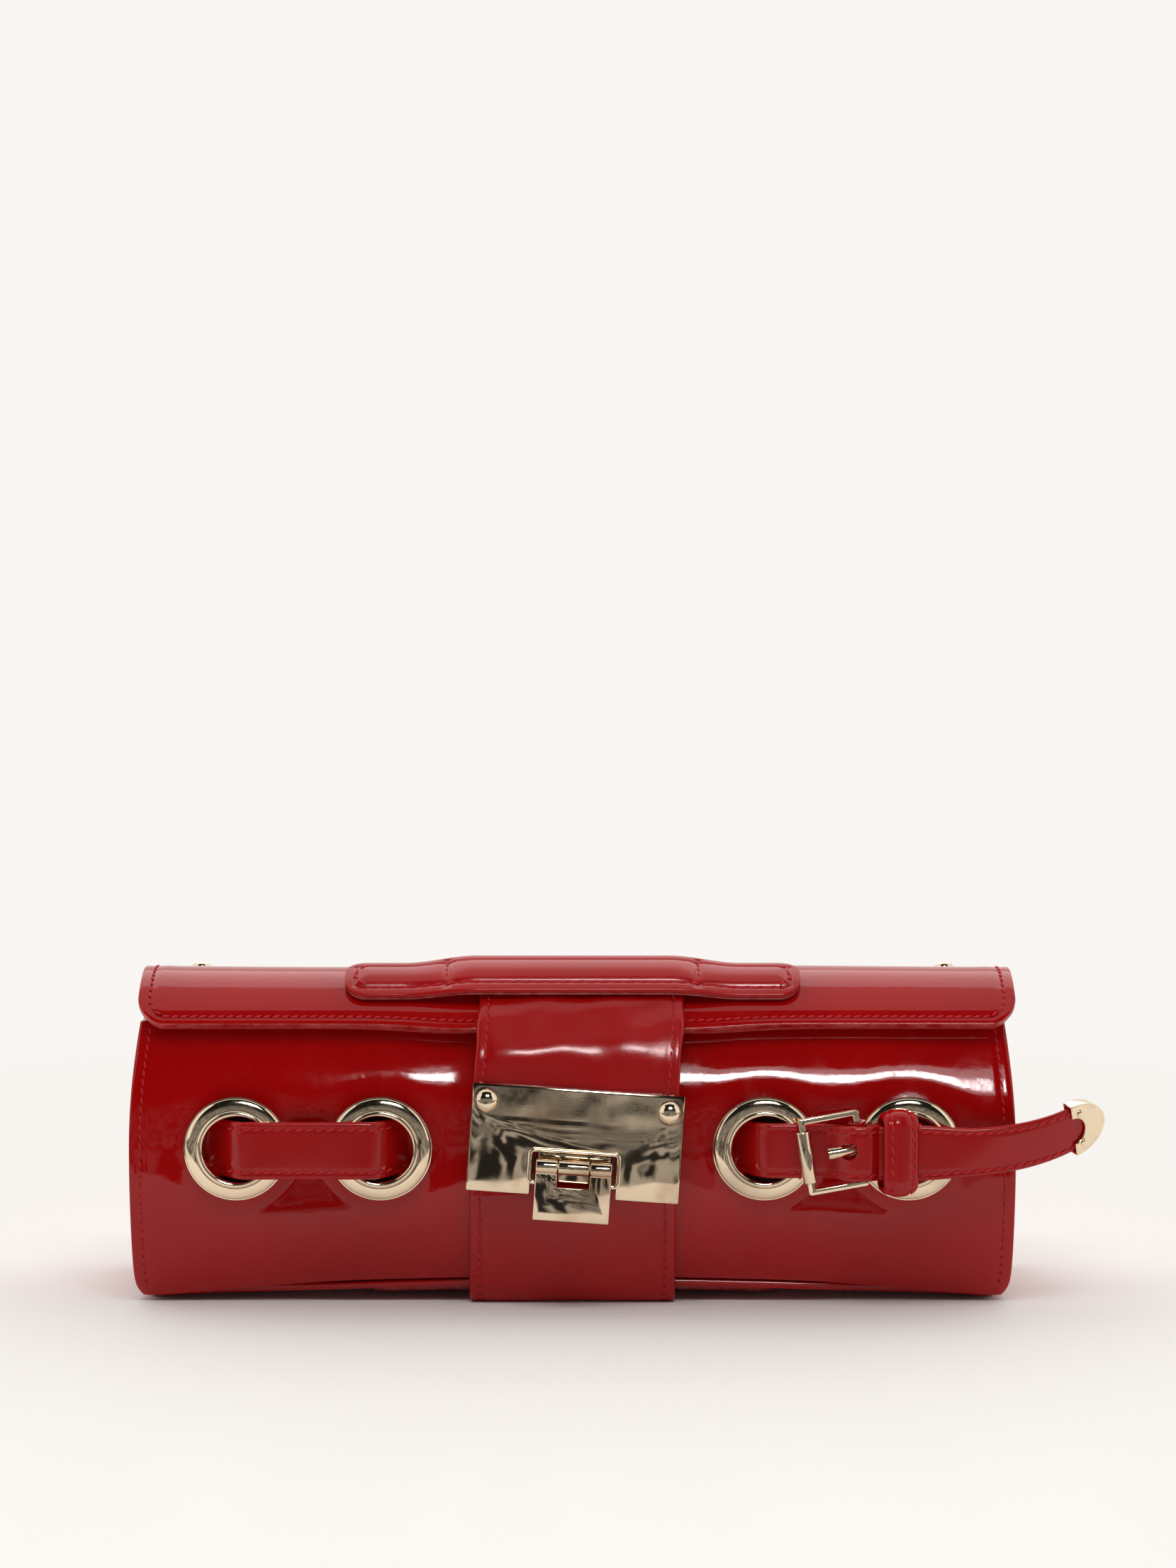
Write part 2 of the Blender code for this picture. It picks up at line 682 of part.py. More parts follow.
def padding(x, angle):
    """Top of the padding: crowned cushions drawn in at the cross seams and the edges."""
    across = (angle - HANDLE_FRONT) / (HANDLE_BACK - HANDLE_FRONT)
    seam = min(1.0, abs(abs(x) - HANDLE_SEAM) / HANDLE_PINCH)
    end = min(1.0, (handle_half - abs(x)) / HANDLE_CORNER)
    crown = math.sin(math.pi * across) * math.sqrt(max(0.0, seam * end))
    return HANDLE_BACKING + FIT + HANDLE_EDGE + HANDLE_CROWN * crown


skin("handle_backing", handle_grid(lambda x, a: HANDLE_BACKING), handle_grid(lambda x, a: 0), LEATHER_EDGE,
     flap_axis)
skin("handle_pad", handle_grid(padding), handle_grid(lambda x, a: HANDLE_BACKING + FIT), LEATHER, flap_axis)

# Closing strap, upper part on the flap and lower part on the body

seat_y = FRONT_Y - 2 * (FIT + STRAP_THICKNESS)
lock_matrix = (Matrix.Translation((LOCK_X, seat_y, LOCK_HEIGHT)) @ Matrix.Rotation(-LOCK_LEAN, 4, 'X')
               @ Matrix.Rotation(LOCK_TILT, 4, 'Y'))
lock_on_body = axis_empty("lock_on_body", lock_matrix)
lock_on_flap = axis_empty("lock_on_flap", lock_matrix, flap_axis)
ALONG_X = Vector((1, 0, 0))


def strap_centre(angle):
    """Centre of the strap where it lies on the flap."""
    return Vector((0, *section(angle, flap_offset(angle) + FIT + STRAP_THICKNESS * HALF)))


def seat_point(height):
    """Centre of the flat part of the strap behind the lock plate."""
    lean = math.tan(LOCK_LEAN)
    return Vector((0, seat_y + STRAP_THICKNESS * HALF + (height - LOCK_HEIGHT) * lean, height))


plate_half = PLATE_HEIGHT * HALF
flat_top = LOCK_HEIGHT + plate_half
flat_low = LOCK_HEIGHT - plate_half + FIT
over = [strap_centre(a) for a in spread(STRAP_UPPER_START, FLAP_EDGE_ANGLE, 9)]
fall = (over[-1] - over[-2]).normalized()
run = (over[-1] - seat_point(flat_top)).length
down = (seat_point(flat_low) - seat_point(flat_top)).normalized()
bend = interpolate_bezier(over[-1], over[-1] + fall * run * HALF, seat_point(flat_top) - down * run * HALF,
                          seat_point(flat_top), 8)
upper_path = over + list(bend[1:]) + [seat_point(flat_low)]
strap_upper = finish("closing_strap_upper",
                     in_frame(ribbon_mesh("closing_strap_upper", flat_frames(upper_path, ALONG_X, strap_half),
                                          STRAP_THICKNESS), flap_axis), LEATHER, flap_axis, False)

lower_offset = FIT + STRAP_THICKNESS * HALF
bend_top = STRAP_BEND + STRAP_THICKNESS
corner_out = section(angle_at(bend_top), lower_offset)
corner_low = Vector((0, corner_out[0] + STRAP_BEND, STRAP_THICKNESS * HALF))
rise_points = [Vector((0, *section(a, lower_offset)))
               for a in spread(angle_at(bend_top), angle_at(LOCK_HEIGHT + STRAP_LAP), 10)]
sweep = interpolate_bezier(corner_low, corner_low - Vector((0, STRAP_BEND * HALF, 0)),
                           rise_points[0] - (rise_points[1] - rise_points[0]).normalized() * STRAP_BEND * HALF,
                           rise_points[0], 5)
lower_path = [Vector((0, STRAP_TAIL, STRAP_THICKNESS * HALF))] + list(sweep[:-1]) + rise_points
strap_lower = finish("closing_strap_lower",
                     ribbon_mesh("closing_strap_lower", flat_frames(lower_path, ALONG_X, strap_half),
                                 STRAP_THICKNESS), LEATHER, None, False)

patch_half = PATCH_DEPTH * HALF


def patch_grid(height):
    """Patch under the base, with rounded corners."""
    grid = []
    edges = spread(0, PATCH_CORNER, 4)
    rows = [-patch_half + e for e in edges] + [patch_half - e for e in edges[::-1]]
    for y in rows:
        reach = trimmed(PATCH_LENGTH * HALF, PATCH_CORNER, patch_half - abs(y) + FIT)
        grid.append([Vector((x, y, arch(x) + height)) for x in spread(-reach, reach, 11)])
    return grid


skin("base_patch", patch_grid(-FIT), patch_grid(-FIT - PATCH_THICKNESS), LEATHER_EDGE)

# Flip lock. Local X runs along the plate, local Z up it and local -Y away from the bag

TO_FRONT = Matrix.Rotation(QUARTER_TURN, 4, 'X')
TO_SIDE = Matrix.Rotation(QUARTER_TURN, 4, 'Y')
window_half = WINDOW_WIDTH * HALF
plate_side = PLATE_WIDTH * HALF
plate_back = -FIT
plate_front = plate_back - PLATE_THICKNESS


def notched(half_width, top, low, notch_half, notch_top, y):
    """Plate outline with a notch open at its lower edge."""
    right = [(notch_half, low), (half_width, low), (half_width, top)]
    left = [(-half_width, top), (-half_width, low), (-notch_half, low)]
    points = [(notch_half, notch_top)] + right + left + [(-notch_half, notch_top)]
    return [Vector((x, y, z)) for x, z in points]


lock_plate = finish("lock_plate", prism_mesh("lock_plate", notched(
    plate_side, plate_half, -plate_half, window_half, -WINDOW_TOP, plate_back),
    (0, -PLATE_THICKNESS, 0)), PALE_GOLD, lock_on_flap, False)
step = WINDOW_RIM / 8
rim_half = window_half + step
rim = prism_mesh("window_rim", notched(rim_half + WINDOW_RIM, -WINDOW_TOP + step + WINDOW_RIM,
                                       -WINDOW_TOP - WINDOW_DEPTH, rim_half, -WINDOW_TOP + step,
                                       plate_back - PLATE_THICKNESS * HALF),
                 (0, -PLATE_THICKNESS * HALF - WINDOW_RIM_HEIGHT, 0))
combine(lock_plate, helper("window_rim", rim, lock_on_flap), 'UNION')
combine(strap_upper, helper("strap_notch", box_mesh("strap_notch", (-window_half, -BODY_DEPTH, -BODY_DEPTH),
                                                    (window_half, BODY_DEPTH * HALF, -WINDOW_TOP)),
                            lock_on_flap))


def lock_rivet(name, side):
    """Domed rivet through the plate and the strap."""
    x = side * (plate_side - RIVET_SIDE)
    z = plate_half - RIVET_TOP
    place = Matrix.Translation((x, plate_front - FIT, z)) @ TO_FRONT
    depth = FIT + PLATE_THICKNESS + FIT + STRAP_THICKNESS + FIT
    turned("lock_rivet_" + name, dome(RIVET_RADIUS, RIVET_HEIGHT, SHANK_RADIUS,
                                      depth + WASHER_THICKNESS + FIT), PALE_GOLD, lock_on_flap, place,
           steps=SMALL_STEPS)
    turned("lock_rivet_washer_" + name, ring_profile(SHANK_RADIUS + FIT, WASHER_RADIUS,
                                                     -depth - WASHER_THICKNESS, -depth), DARK_GOLD,
           lock_on_flap, place, closed=True, steps=SMALL_STEPS)
    drill = helper("rivet_hole_" + name, cylinder_mesh("rivet_hole", SHANK_RADIUS + FIT, 6 * depth, place),
                   lock_on_flap)
    combine(lock_plate, drill)
    combine(strap_upper, drill)


lock_rivet("left", -1)
lock_rivet("right", 1)

rim_front = plate_front - WINDOW_RIM_HEIGHT
pin_y = rim_front - FIT - TONGUE_THICKNESS * HALF
pin_z = -PIN_DROP
pin_place = Matrix.Translation((0, pin_y, pin_z))
tongue_axis = axis_empty("tongue_axis", lock_matrix @ pin_place)


def knuckle_outline(x, radius, leg_half, leg_y, leg_z):
    """Barrel around the pin with a straight leg running off it, as a section square to the pin."""
    start = math.asin(leg_half / radius)
    reach = math.atan2(leg_z, leg_y)
    turn = [reach + start + (2 * math.pi - 2 * start) * i / SMALL_STEPS for i in range(SMALL_STEPS + 1)]
    points = [(radius * math.cos(a), radius * math.sin(a)) for a in turn]
    side = Vector((-math.sin(reach), math.cos(reach))) * leg_half
    points.append((leg_y - side.x, leg_z - side.y))
    points.append((leg_y + side.x, leg_z + side.y))
    return [Vector((x, y, z)) for y, z in points]


tongue_half = TONGUE_WIDTH * HALF
knuckle_half = KNUCKLE_WIDTH * HALF
tongue = finish("lock_tongue", prism_mesh("lock_tongue", knuckle_outline(
    -tongue_half, KNUCKLE_RADIUS, TONGUE_THICKNESS * HALF, 0, -TONGUE_REACH), (TONGUE_WIDTH, 0, 0)),
    PALE_GOLD, tongue_axis, False)
notch_half = knuckle_half + FIT
combine(tongue, helper("tongue_notch", box_mesh("tongue_notch", (-notch_half, -BODY_DEPTH, -TONGUE_NOTCH),
                                                (notch_half, BODY_DEPTH, BODY_DEPTH)), tongue_axis))
combine(tongue, helper("tongue_bore", cylinder_mesh("tongue_bore", PIN_RADIUS + RUN, 2 * TONGUE_WIDTH, TO_SIDE),
                       tongue_axis))

hasp_back = STRAP_THICKNESS + FIT
hasp_front = hasp_back - HASP_THICKNESS
hasp_half = tongue_half - FIT
hasp = finish("lock_hasp", box_mesh("lock_hasp", (-hasp_half, hasp_front, pin_z - HASP_HEIGHT * HALF),
                                    (hasp_half, hasp_back, pin_z + HASP_HEIGHT * HALF)),
              PALE_GOLD, lock_on_body, False)
post = prism_mesh("hasp_post", knuckle_outline(-knuckle_half, KNUCKLE_RADIUS, HASP_POST * HALF,
                                               hasp_back - HASP_THICKNESS * HALF - pin_y, 0),
                  (KNUCKLE_WIDTH, 0, 0))
post.transform(pin_place)
combine(hasp, helper("hasp_post", post, lock_on_body), 'UNION')
drill_pin = cylinder_mesh("hasp_bore", PIN_RADIUS + RUN, 2 * TONGUE_WIDTH, pin_place @ TO_SIDE)
combine(hasp, helper("hasp_bore", drill_pin, lock_on_body))
finish("lock_pin", cylinder_mesh("lock_pin", PIN_RADIUS, TONGUE_WIDTH, pin_place @ TO_SIDE), DARK_GOLD,
       lock_on_body, True)

panel_back = FRONT_Y + WALL - seat_y
backplate_low = panel_back + math.tan(LOCK_LEAN) * (PIN_DROP + HASP_HEIGHT * HALF) + 2 * FIT
backplate_high = backplate_low + BACKPLATE_THICKNESS
backplate = finish("lock_backplate", box_mesh("lock_backplate", (-hasp_half, backplate_low,
                                                                 pin_z - HASP_HEIGHT * HALF),
                                              (hasp_half, backplate_high, pin_z + HASP_HEIGHT * HALF)),
                   DARK_GOLD, lock_on_body, False)
tail_end = backplate_high + 2 * FIT
for side in (-1, 1):
    tail_x = side * HASP_TAIL_SPREAD * HALF
    tail_middle = Matrix.Translation((tail_x, (hasp_front + tail_end + HASP_THICKNESS * HALF) * HALF, pin_z))
    tail_length = tail_end - hasp_front - HASP_THICKNESS * HALF
    tail = cylinder_mesh("hasp_tail", HASP_TAIL_RADIUS, tail_length, tail_middle @ TO_FRONT)
    combine(hasp, helper("hasp_tail", tail, lock_on_body), 'UNION')
    bore = cylinder_mesh("hasp_hole", HASP_TAIL_RADIUS + FIT, 4 * tail_length,
                         Matrix.Translation((tail_x, tail_end + tail_length, pin_z)) @ TO_FRONT)
    drill = helper("hasp_hole", bore, lock_on_body)
    for piece in (strap_lower, front_panel, backplate):
        combine(piece, drill)

# Eyelets: a domed face and a tube through the leather, with a washer inside

bore_radius = BELT_WIDTH * HALF + BELT_PLAY
tube_radius = bore_radius + EYELET_TUBE
face_radius = bore_radius + EYELET_FACE
lip_radius = face_radius + EYELET_LIP
washer_outer = tube_radius + FIT + EYELET_WASHER
sagged = BODY_DEPTH * HALF + section(angle_at(EYELET_HEIGHT + washer_outer))[0]
washer_front = WALL + sagged + FIT
washer_back = washer_front + EYELET_WASHER_DEPTH
tube_length = washer_back + FIT


def eyelet_profile():
    """Face, lip and tube of an eyelet, heights above the leather."""
    middle = (bore_radius + face_radius) * HALF
    spanned = (face_radius - bore_radius) * HALF
    low = EYELET_DOME / 3
    dome_points = [(middle + spanned * math.cos(a), FIT + low + (EYELET_DOME - low) * math.sin(a))
                   for a in spread(math.pi, 0, 7)]
    lip = [(lip_radius, FIT + low), (lip_radius, FIT), (tube_radius, FIT)]
    return dome_points + lip + [(tube_radius, -tube_length), (bore_radius, -tube_length)]


def eyelet(name, x):
    """Eyelet and washer on the front leather."""
    place = Matrix.Translation((x, FRONT_Y, EYELET_HEIGHT)) @ TO_FRONT
    turned("eyelet_" + name, eyelet_profile(), PALE_GOLD, None, place, closed=True)
    turned("eyelet_washer_" + name, ring_profile(tube_radius + FIT, washer_outer, -washer_back, -washer_front),
           DARK_GOLD, None, place, closed=True)
    drill = cylinder_mesh("eyelet_hole", tube_radius + FIT, BODY_DEPTH * HALF, place, ROUND_STEPS)
    combine(front_panel, helper("eyelet_hole_" + name, drill))


OUTER_EYELET = (BODY_LENGTH * HALF + strap_half + EYELET_PITCH) * HALF - EYELET_SHIFT
INNER_EYELET = OUTER_EYELET - EYELET_PITCH
BAR_X = INNER_EYELET + BAR_REACH
KEEPER_X = BAR_X + KEEPER_REACH
TURN_X = OUTER_EYELET + TURN_REACH
eyelet("a", -OUTER_EYELET)
eyelet("b", -INNER_EYELET)
eyelet("c", INNER_EYELET)
eyelet("d", OUTER_EYELET)

# Belts. Depths are measured along Y at the middle of each belt

UP = Vector((0, 0, 1))
belt_half = BELT_WIDTH * HALF
dome_y = FRONT_Y - FIT - EYELET_DOME
belt_out = dome_y - FIT - BELT_THICKNESS * HALF
belt_in = FRONT_Y + tube_length + FIT + BELT_THICKNESS * HALF
RAMP_STEPS = 11


def belt_point(x, y):
    """Point on the centre line of a belt."""
    return Vector((x, y, EYELET_HEIGHT))


def dive(x, start, finish_y, way):
    """Belt passing through an eyelet at x, from one depth to another along way."""
    points = []
    for share in spread(0, 1, RAMP_STEPS):
        step_x = x + way * BELT_RAMP * (2 * share - 1)
        points.append(belt_point(step_x, start + (finish_y - start) * ease(share)))
    return points


def belt(name, path, thickness, parent=None):
    """Belt along a path that keeps to one height."""
    mesh = ribbon_mesh(name, flat_frames(path, UP, belt_half), thickness)
    return finish(name, in_frame(mesh, parent), LEATHER, parent, False)


left_path = [belt_point(-OUTER_EYELET - BELT_RAMP - BELT_INNER, belt_in)]
left_path += dive(-OUTER_EYELET, belt_in, belt_out, 1) + dive(-INNER_EYELET, belt_out, belt_in, 1)
left_path.append(belt_point(-INNER_EYELET + BELT_RAMP + BELT_INNER, belt_in))
belt("belt_left", left_path, BELT_THICKNESS)

keeper_back = dome_y - FIT
under_y = keeper_back - KEEPER_THICKNESS - FIT - BUCKLE_BELT_THICKNESS * HALF
over_y = under_y - BUCKLE_BELT_THICKNESS * HALF - FIT - BELT_THICKNESS * HALF
bar_reach = BUCKLE_BAR * HALF * math.sqrt(2)
eye_bore = bar_reach + RUN
eye_radius = eye_bore + EYE_WALL
hump_y = under_y - eye_radius - FIT - BELT_THICKNESS * HALF
roller_bore = bar_reach + RUN
roller_radius = roller_bore + ROLLER_WALL
front_bar_y = belt_out - BELT_THICKNESS * HALF - FIT - roller_radius

# Belt that carries the buckle: in through the outer eyelet, folded round the hidden bar at its end

swing = [under_y + TURN_RADIUS, belt_in - TURN_RADIUS]
turn_path = [belt_point(BAR_X + eye_bore * HALF, under_y)]
for a in spread(0, QUARTER_TURN, 6):
    turn_path.append(belt_point(TURN_X - TURN_RADIUS + TURN_RADIUS * math.sin(a),
                                swing[0] - TURN_RADIUS * math.cos(a)))
for a in spread(0, QUARTER_TURN, 6):
    turn_path.append(belt_point(TURN_X + TURN_RADIUS - TURN_RADIUS * math.cos(a),
                                swing[1] + TURN_RADIUS * math.sin(a)))
turn_path.append(belt_point(TURN_X + TURN_RADIUS + BELT_INNER, belt_in))
buckle_belt = belt("belt_buckle_side", turn_path, BUCKLE_BELT_THICKNESS)

incline = math.asin((under_y - front_bar_y) / BUCKLE_LENGTH)
bar_lift = BUCKLE_LENGTH * HALF * math.sin(BUCKLE_ROLL)
buckle_matrix = (Matrix.Translation((BAR_X, under_y, EYELET_HEIGHT + bar_lift))
                 @ Matrix.Rotation(incline, 4, 'Z') @ Matrix.Rotation(-BUCKLE_ROLL, 4, 'Y'))
buckle_axis = axis_empty("buckle_axis", buckle_matrix)
prong_axis = axis_empty("prong_axis", buckle_matrix)
fold_axis = axis_empty("fold_axis", buckle_matrix)

fold_length = BELT_WIDTH - 2 * FIT
combine(buckle_belt, helper("belt_fold", cylinder_mesh("belt_fold", eye_radius, fold_length,
                                                       Matrix.Identity(4), ROUND_STEPS), fold_axis), 'UNION')
combine(buckle_belt, helper("belt_fold_bore", cylinder_mesh("belt_fold_bore", eye_bore, 2 * BELT_WIDTH,
                                                            Matrix.Identity(4), ROUND_STEPS), fold_axis))
prong_bore = bar_reach + RUN
prong_eye = prong_bore + PRONG_EYE_WALL
slot_half = PRONG_WIDTH * HALF + FIT
fold_slot = prong_eye + 2 * FIT
combine(buckle_belt, helper("belt_fold_slot", box_mesh("belt_fold_slot", (-2 * eye_radius, -2 * eye_radius,
                                                                          -slot_half),
                                                       (fold_slot, 2 * eye_radius, slot_half)), fold_axis))

inner_half_height = BELT_WIDTH * HALF + BUCKLE_PLAY
bar_half = BUCKLE_BAR * HALF
frame_half = inner_half_height + BUCKLE_BAR
frame = finish("buckle_frame", box_mesh("buckle_frame", (-BUCKLE_LENGTH - bar_half, -bar_half, -frame_half),
                                        (bar_half, bar_half, frame_half)), PALE_GOLD, buckle_axis, False)
combine(frame, helper("buckle_opening", box_mesh("buckle_opening", (-BUCKLE_LENGTH + bar_half, -BODY_DEPTH,
                                                                    -inner_half_height),
                                                 (-bar_half, BODY_DEPTH, inner_half_height)), buckle_axis))

roller_axis = axis_empty("roller_axis", buckle_matrix @ Matrix.Translation((-BUCKLE_LENGTH, 0, 0)), buckle_axis)
turned("buckle_roller", ring_profile(roller_bore, roller_radius, -ROLLER_LENGTH * HALF, ROLLER_LENGTH * HALF),
       PALE_GOLD, roller_axis, Matrix.Identity(4), closed=True, steps=SMALL_STEPS)

prong = finish("buckle_prong", cylinder_mesh("buckle_prong", prong_eye, PRONG_WIDTH, Matrix.Identity(4)),
               PALE_GOLD, prong_axis, False)
arm = box_mesh("prong_arm", (-PRONG_REACH, FIT - PRONG_THICKNESS * HALF, -PRONG_WIDTH * HALF + FIT / 6),
               (-prong_bore - PRONG_EYE_WALL * HALF, FIT + PRONG_THICKNESS * HALF,
                PRONG_WIDTH * HALF - FIT / 6))
combine(prong, helper("prong_arm", arm, prong_axis), 'UNION')
combine(prong, helper("prong_bore", cylinder_mesh("prong_bore", prong_bore, 2 * BELT_WIDTH,
                                                  Matrix.Identity(4)), prong_axis))

# Belt with the tail: out of its eyelet, under the roller, over the hidden bar and through the keeper

keeper_half = KEEPER_WIDTH * HALF
tail_start = KEEPER_X + keeper_half + KEEPER_TRAVEL + 2 * FIT
climb_start = BAR_X - PRONG_REACH - 2 * FIT
climb_end = BAR_X - eye_radius * HALF
fall_start = BAR_X + eye_radius * HALF
fall_end = BAR_X + 2 * eye_radius
tip_path = [belt_point(INNER_EYELET - BELT_RAMP - BELT_INNER, belt_in)]
tip_path += dive(INNER_EYELET, belt_in, belt_out, 1)
for share in spread(0, 1, 9):
    tip_path.append(belt_point(climb_start + (climb_end - climb_start) * share,
                               belt_out + (hump_y - belt_out) * ease(share)))
for share in spread(0, 1, 5):
    tip_path.append(belt_point(fall_start + (fall_end - fall_start) * share,
                               hump_y + (over_y - hump_y) * ease(share)))
tip_path.append(belt_point(tail_start - FIT, over_y))
tip_belt = belt("belt_tip_side", tip_path, BELT_THICKNESS)
combine(tip_belt, helper("prong_slot", box_mesh("prong_slot", (-PRONG_REACH - 2 * FIT, -BODY_DEPTH, -slot_half),
                                                (-prong_bore - FIT, BODY_DEPTH, slot_half)), fold_axis))

# Keeper loop, sliding along the two belts


def loop_outline(x, low_y, high_y, half_z, corner):
    """Rounded loop square to the belts."""
    points = []
    corners = ((high_y - corner, half_z - corner, 0), (low_y + corner, half_z - corner, 1),
               (low_y + corner, corner - half_z, 2), (high_y - corner, corner - half_z, 3))
    for y, z, quarter in corners:
        for a in spread(quarter * QUARTER_TURN, (quarter + 1) * QUARTER_TURN, 4):
            points.append(Vector((x, y + corner * math.cos(a), z + corner * math.sin(a))))
    return points


over_front = over_y - BELT_THICKNESS * HALF - FIT
keeper_axis = axis_empty("keeper_axis", Matrix.Translation((KEEPER_X, under_y, EYELET_HEIGHT)))
loop_low = over_front - KEEPER_THICKNESS - under_y
loop_high = keeper_back - under_y
loop_half = BELT_WIDTH * HALF + KEEPER_PLAY + KEEPER_THICKNESS
keeper = finish("belt_keeper", prism_mesh("belt_keeper", loop_outline(
    -keeper_half, loop_low, loop_high, loop_half, 2 * KEEPER_THICKNESS), (KEEPER_WIDTH, 0, 0)),
    LEATHER, keeper_axis, False)
hole = prism_mesh("keeper_hole", loop_outline(-KEEPER_WIDTH, loop_low + KEEPER_THICKNESS,
                                              loop_high - KEEPER_THICKNESS, loop_half - KEEPER_THICKNESS,
                                              KEEPER_THICKNESS), (2 * KEEPER_WIDTH, 0, 0))
combine(keeper, helper("keeper_hole", hole, keeper_axis))

# Tail of the belt, swinging about the front face of the belt just past the keeper

tail_axis = axis_empty("tail_axis", Matrix.Translation((tail_start, over_y - BELT_THICKNESS * HALF,
                                                        EYELET_HEIGHT)))


def tail_point(share):
    """Centre line of the tail's bend."""
    return Vector((tail_start + FIT + TAIL_RUN * share, over_y + TAIL_SWEEP * share ** 3,
                   EYELET_HEIGHT + TAIL_RISE * share * share))


def tail_frame(share):
    """Tangent, across and outward directions on the tail."""
    gap = 1 / RAMP_STEPS / RAMP_STEPS
    tangent = (tail_point(share) - tail_point(share - gap)).normalized()
    outward = UP.cross(tangent).normalized() * -1
    across = outward.cross(tangent).normalized()
    twist = Matrix.Rotation(TAIL_ROLL * ease(share), 3, tangent)
    return tangent, twist @ across, twist @ outward


tail_half = TAIL_WIDTH * HALF
tail_frames = []
for share in spread(0, 1, 12):
    tangent, across, outward = tail_frame(share)
    narrowed = ease(share / TAIL_NARROWING)
    tail_frames.append((tail_point(share), across, outward, belt_half + (tail_half - belt_half) * narrowed))
tip_point = tail_point(1)
cap_inner = CAP_LENGTH - CAP_WALL - FIT


def cap_width(along, length, half):
    """Half width of the rounded end."""
    return half * math.sqrt(max(0.0, 1 - (along / length) ** 2))


for along in spread(0, cap_inner, 8)[1:-1]:
    half = cap_width(along, cap_inner, tail_half)
    tail_frames.append((tip_point + tangent * along, across, outward, half))
tail = finish("belt_tail", in_frame(ribbon_mesh("belt_tail", tail_frames, BELT_THICKNESS), tail_axis), LEATHER,
              tail_axis, False)

cap_matrix = Matrix((tangent, -outward, across)).transposed().to_4x4()
cap_matrix.translation = tip_point
cap_frame = axis_empty("cap_frame", cap_matrix, tail_axis)


def cap_outline(start, length, half, y):
    """Rounded end of the tail seen square to its face."""
    points = [Vector((start, y, -half))]
    points += [Vector((a, y, -cap_width(a, length, half))) for a in spread(0, length, 8)[:-1]]
    points.append(Vector((length, y, 0)))
    points += [Vector((a, y, cap_width(a, length, half))) for a in spread(length, 0, 8)[1:]]
    points.append(Vector((start, y, half)))
    return points


cap_depth = BELT_THICKNESS + 2 * FIT + 2 * CAP_WALL
cap_half = tail_half + FIT + CAP_WALL
cap_start = -CAP_WALL
cap = finish("tail_cap", prism_mesh("tail_cap", cap_outline(cap_start, CAP_LENGTH, cap_half, -cap_depth * HALF),
                                    (0, cap_depth, 0)), PALE_GOLD, cap_frame, False)
cavity = BELT_THICKNESS + 2 * FIT
cap_hollow = prism_mesh("cap_hollow", cap_outline(-CAP_LENGTH, CAP_LENGTH - CAP_WALL, tail_half + FIT,
                                                  -cavity * HALF), (0, cavity, 0))
combine(cap, helper("cap_hollow", cap_hollow, cap_frame))
notch_place = Matrix.Translation((cap_start, 0, 0)) @ TO_FRONT
combine(cap, helper("cap_notch", cylinder_mesh("cap_notch", CAP_NOTCH, 4 * cap_depth, notch_place), cap_frame))


def cap_rivet(name, side):
    """Small rivet holding the cap on the belt."""
    place = Matrix.Translation((CAP_RIVET_ALONG, -cap_depth * HALF - FIT, side * CAP_RIVET_ACROSS * HALF))
    profile = dome(CAP_RIVET_HEAD, CAP_RIVET_PROUD, CAP_RIVET_RADIUS, cap_depth + FIT)
    turned("cap_rivet_" + name, profile, PALE_GOLD, cap_frame, place @ TO_FRONT, steps=SMALL_STEPS)
    drill = helper("cap_hole_" + name, cylinder_mesh("cap_hole", CAP_RIVET_RADIUS + FIT, 4 * cap_depth,
                                                     place @ TO_FRONT), cap_frame)
    combine(cap, drill)
    combine(tail, drill)


cap_rivet("upper", 1)
cap_rivet("lower", -1)
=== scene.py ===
"""Dressed model of a red patent clutch purse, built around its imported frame."""
import math

import bpy
import numpy as np
from mathutils import Matrix, Vector


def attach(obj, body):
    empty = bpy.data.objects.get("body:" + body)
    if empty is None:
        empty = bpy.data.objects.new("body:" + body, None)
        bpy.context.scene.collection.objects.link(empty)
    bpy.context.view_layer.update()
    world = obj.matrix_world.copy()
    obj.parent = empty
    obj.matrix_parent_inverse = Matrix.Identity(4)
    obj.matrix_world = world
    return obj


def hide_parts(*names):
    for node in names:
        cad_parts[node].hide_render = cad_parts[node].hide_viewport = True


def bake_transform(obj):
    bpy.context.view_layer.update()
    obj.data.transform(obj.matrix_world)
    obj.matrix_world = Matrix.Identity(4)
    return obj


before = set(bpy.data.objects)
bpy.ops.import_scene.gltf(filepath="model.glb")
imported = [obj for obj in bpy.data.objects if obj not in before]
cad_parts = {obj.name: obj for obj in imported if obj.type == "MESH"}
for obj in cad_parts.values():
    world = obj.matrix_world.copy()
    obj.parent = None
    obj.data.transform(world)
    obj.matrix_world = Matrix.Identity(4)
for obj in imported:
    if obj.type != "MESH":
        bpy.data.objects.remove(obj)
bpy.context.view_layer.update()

bl_info = {
    "name": "Barrel Clutch",
    "version": (1, 0, 0),
    "blender": (4, 5, 0),
    "location": "View3D > Sidebar > Clutch",
    "description": "Leather, stitching and metal of a barrel clutch purse",
    "category": "Add Mesh",
}

MM = 0.001
DEG = math.pi / 180


def mm(*sizes):
    """Sizes written in millimetres."""
    return tuple(size * MM for size in sizes)


